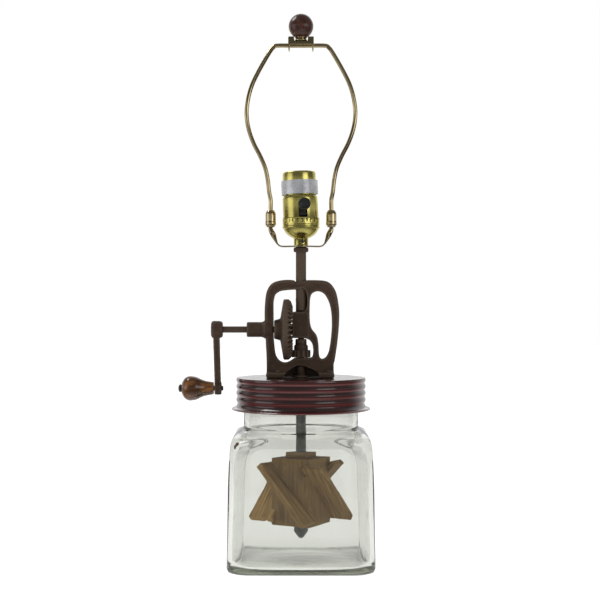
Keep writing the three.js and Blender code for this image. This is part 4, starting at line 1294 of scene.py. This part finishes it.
def make_socket():
    """The socket's cap, with crimps round its rim and a set screw in its neck, and the rest."""
    low, high = span("socket_cap")
    r = high.x
    neck, rim = low.z, high.z

    def crimped(angles, radius, height):
        """A row of small round dents just below the cap's rim."""
        step = TURN / CRIMPS
        off = ((angles + step / 2) % step - step / 2) * r / 0.95
        dent = np.exp(-(off**2)) * np.exp(-(((height - rim + 3.1) / 1.1) ** 2))
        return radius - 0.4 * dent * (radius > r - 1), height

    outer = [
        (7.1, neck), (7.15, neck + 0.4), (7.15, neck + 6.2), (7.6, neck + 6.9), (9.0, neck + 7.5),
        (11.2, neck + 8.7), (13.8, neck + 10.6), (16.0, neck + 13.2), (17.2, neck + 15.5),
        (17.5, neck + 16.3), (18.3, neck + 16.7), (r, neck + 17.4), (r - 0.05, neck + 18.2),
        (18.2, neck + 18.9), (18.25, neck + 19.8),
    ]
    band = [(18.35, rim - 6.4 + 0.45 * k) for k in range(13)]
    top = [(18.4, rim - 0.9), (r, rim - 0.5), (r - 0.1, rim - 0.1), (18.3, rim), (17.95, rim - 0.2)]
    inner = [(17.9, rim - 1), (17.6, neck + 19), (15.6, neck + 14), (12.5, neck + 10.4),
             (8.6, neck + 8.2), (5.6, neck + 7.4), (5.6, neck)]
    cap = mesh_of(lathe(outer + band + top + inner, 300, form=crimped))
    x, _, z = middle("socket_set_screw")
    hole = lathe(tube(0, 1.9, -12, -3), 24, ALONG_Y, (x, 0, z))
    piece("socket_cap", cut(cap, hole), sharp=40)
    screw = [(0, -8.6), (1.2, -8.6), (1.6, -8.2), (1.6, -5.5), (0, -5.5)]
    screw = mesh_of(turned(screw, 0.2, around=32, axis=ALONG_Y, at=(x, 0, z)))
    groove = block((x - 3, -9, z - 0.25), (x + 3, -7.9, z + 0.25), 0.05)
    piece("socket_set_screw", cut(screw, groove), sharp=30)
    make_upper_socket()
    make_knob()


def leaning(shape):
    """A shape made with its heights from the lean's centre, put in place."""
    return moved(shape, LEAN)


def make_upper_socket():
    """The leaning shell, slotted for the knob, with the body, screw shell and label."""
    step, top, bottom = STEP_Z - LEAN_Z, SHELL_TOP_Z - LEAN_Z, 338 - LEAN_Z
    knob_z = KNOB_Z - LEAN_Z
    shell = lathe(
        [(17.5, bottom), (17.6, bottom + 0.3), (17.6, step - 3.6), (17.5, step - 2.6),
         (17.1, step - 1.5), (16.4, step - 0.6), (16.1, step + 0.2), (16.2, step + 1),
         (16.6, step + 1.6), (16.6, top - 2.4), (16.3, top - 1.3), (15.7, top - 0.5),
         (15.0, top - 0.2), (14.7, top - 0.6), (15.5, top - 1.2), (16, top - 2.4),
         (16, step + 1.4), (15.6, step + 0.2), (16.9, step - 2.8), (17, step - 3.8), (17, bottom)],
        160,
    )
    slot = moved(block((-4.3, -20, bottom - 2), (4.3, -9, knob_z), 0.3), KNOB_TURN)
    hole = moved(lathe(tube(0, 4.3, -20, -9), 48, ALONG_Y, (0, 0, knob_z)), KNOB_TURN)
    mesh = cut(mesh_of(shell), slot, hole)
    mesh.transform(LEAN)
    piece("socket_shell", mesh, sharp=40)

    base = turned(tube(0, 13.6, 336 - LEAN_Z, 364 - LEAN_Z), 0.8, around=64)
    housing = moved(block((-4.1, -14.8, 345 - LEAN_Z), (4.1, -8, 360.9 - LEAN_Z), 0.5), KNOB_TURN)
    stem_hole = moved(lathe(tube(0, 2.5, -20, -9), 32, ALONG_Y, (0, 0, knob_z)), KNOB_TURN)
    body = cut(cast(merged(base, housing), 0.5, 2), stem_hole)
    body.transform(LEAN)
    piece("socket_body", body, sharp=40)

    liner = tube(14.4, 14.9, 365 - LEAN_Z, 388.5 - LEAN_Z)
    piece("socket_liner", leaning(turned(liner, 0.2, around=96)))
    low = 366.2 - LEAN_Z

    def thread(angles, radius, height):
        """A rolled thread that fades out at both ends."""
        wave = 0.42 * np.sin(TURN * (height - low) / 3.6 - angles)
        fade = np.clip((height - low - 1.5) / 1.5, 0, 1) * np.clip((low + 20.5 - height) / 1.5, 0, 1)
        return radius + wave * fade * (radius > 11), height

    heights = np.linspace(low + 1, low + 21, 56)
    threaded = [(13.45, z) for z in heights] + [(13.0, z) for z in heights[::-1]]
    profile = [(5, low - 1.8), (12.8, low - 1.8), (13.4, low - 1.2), *threaded, (12.6, low - 1.0),
               (5, low - 1.2)]
    piece("screw_shell", leaning(lathe(profile, 96, form=thread)))
    contact = [(r, z - LEAN_Z) for r, z in
               ((0, 364.3), (1.3, 364.3), (1.3, 367.4), (3.2, 367), (3.0, 367.8), (0, 368))]
    piece("centre_contact", leaning(turned(contact, 0.15, around=32)))

    label_low, label_high = STEP_Z + 0.8 - LEAN_Z, 381 - LEAN_Z

    def wrapped(angles, radius, height):
        """A band that ripples a little and overlaps itself at the back."""
        ripple = 0.08 * np.sin(5 * angles + 1) + 0.06 * np.sin(9 * angles + height)
        lap = 0.25 * (abs((angles - 1.7 + math.pi) % TURN - math.pi) < 0.22)
        return radius + (ripple + lap - 0.25) * (radius > 17.8), height

    heights = np.linspace(label_low, label_high, 10)
    band = [(18.5, z) for z in heights] + [(17.3, z) for z in heights[::-1]]
    piece("socket_label", leaning(lathe(band, 180, form=wrapped)), sharp=40)


def make_knob():
    """The fluted turn knob and its stem."""
    where = LEAN @ Matrix.Translation((0, 0, KNOB_Z - LEAN_Z)) @ KNOB_TURN

    def fluted(angles, radius, height):
        """Fine flutes round the knob's edge."""
        flute = 0.16 * np.cos(24 * angles) - 0.16
        return radius + flute * (radius > 5.7), height

    profile = soften(
        [(0, -30.6), (3.6, -30.75), (4.6, -31.35), (5.4, -31.3), (6.15, -30.4), (6.15, -23.2),
         (5.2, -21.6), (2.6, -21.6), (2.6, -23.8), (0, -23.8)],
        0.4,
    )
    piece("switch_knob", moved(lathe(profile, 192, ALONG_Y, form=fluted), where), sharp=40)
    stem = turned(tube(0, 2.2, -23.4, -9.6), 0.3, around=32, axis=ALONG_Y)
    piece("switch_stem", moved(stem, where))


# ---- scene ----


def make_floor():
    """A wide pale sheet under the lamp."""
    size, steps = 6.0, 12
    grid = np.linspace(-size, size, steps + 1)
    points = [(x, y, 0) for y in grid for x in grid]
    faces = []
    for j in range(steps):
        for i in range(steps):
            a = j * (steps + 1) + i
            faces.append((a, a + 1, a + steps + 2, a + steps + 1))
    mesh = bpy.data.meshes.new("floor")
    mesh.from_pydata(points, [], faces)
    made, tree, shader = material(
        "floor", roughness=0.7, emission_color=(1, 1, 1, 1), emission_strength=0.92
    )
    tone = ramp(tree, noise(tree, place(tree), 3), (0.3, 0.36), (0.7, 0.4))
    drive(tree, shader, base_color=tone)
    mesh.materials.append(made)
    floor = show("floor", mesh)
    floor.visible_glossy = False


def make_world():
    """A white room, which shiny things see as a white wall behind the lamp and a dark room before it.

    The dark room has a pale floor and a bright band just above the level of its middle.
    """
    world = bpy.data.worlds.new("studio")
    bpy.context.scene.world = world
    world.use_nodes = True
    tree = world.node_tree
    backdrop = tree.nodes["Background"]
    direction = add(tree, "TexCoord").outputs["Generated"]
    parts = add(tree, "SeparateXYZ", {0: direction})
    wall = ramp(tree, parts.outputs["Y"], (0.3, 0.0), (0.75, 1.0))
    height = add(tree, "MapRange", {"Value": parts.outputs["Z"], "From Min": -1.0, "From Max": 1.0})
    before = ramp(
        tree, height.outputs[0], (0.0, 0.85), (0.1, 0.62), (0.24, 0.14), (0.33, 0.05), (0.495, 0.06),
        (0.53, 0.66), (0.545, 0.66), (0.59, 0.06), (0.85, 0.16),
    )
    room = mix(tree, wall, before, (0.76, 0.76, 0.76))
    path = add(tree, "LightPath").outputs
    soft = mix(tree, path["Is Diffuse Ray"], (1, 1, 1), (0.52, 0.52, 0.52))
    reflected = add(
        tree, "Math", {0: path["Is Glossy Ray"], 1: path["Is Transmission Ray"]},
        operation="SUBTRACT", use_clamp=True,
    )
    tint = mix(tree, reflected.outputs[0], soft, room)
    tree.links.new(tint, backdrop.inputs["Color"])
    backdrop.inputs["Strength"].default_value = 1.0


make_camera()
make_world()
make_floor()
soft_box("left_box", -68, 0.36, 1.2, 0.8, 0.9, 1.9)
soft_box("right_box", 45, 0.62, 1.5, 0.9, 0.6, 2.6)
soft_box("top_box", -107, 1.15, 0.55, 0.35, 0.35, 2.6)
soft_box("back_box", 180, 0.9, 1.6, 1.2, 0.9, 2)

make_jar()
make_lid()
make_gear_frame()
make_crank()
make_grip()
make_spindle()
make_dasher()
make_pipe()
make_harp()
make_finial()
make_socket()

bpy.context.scene.view_settings.view_transform = "Standard"
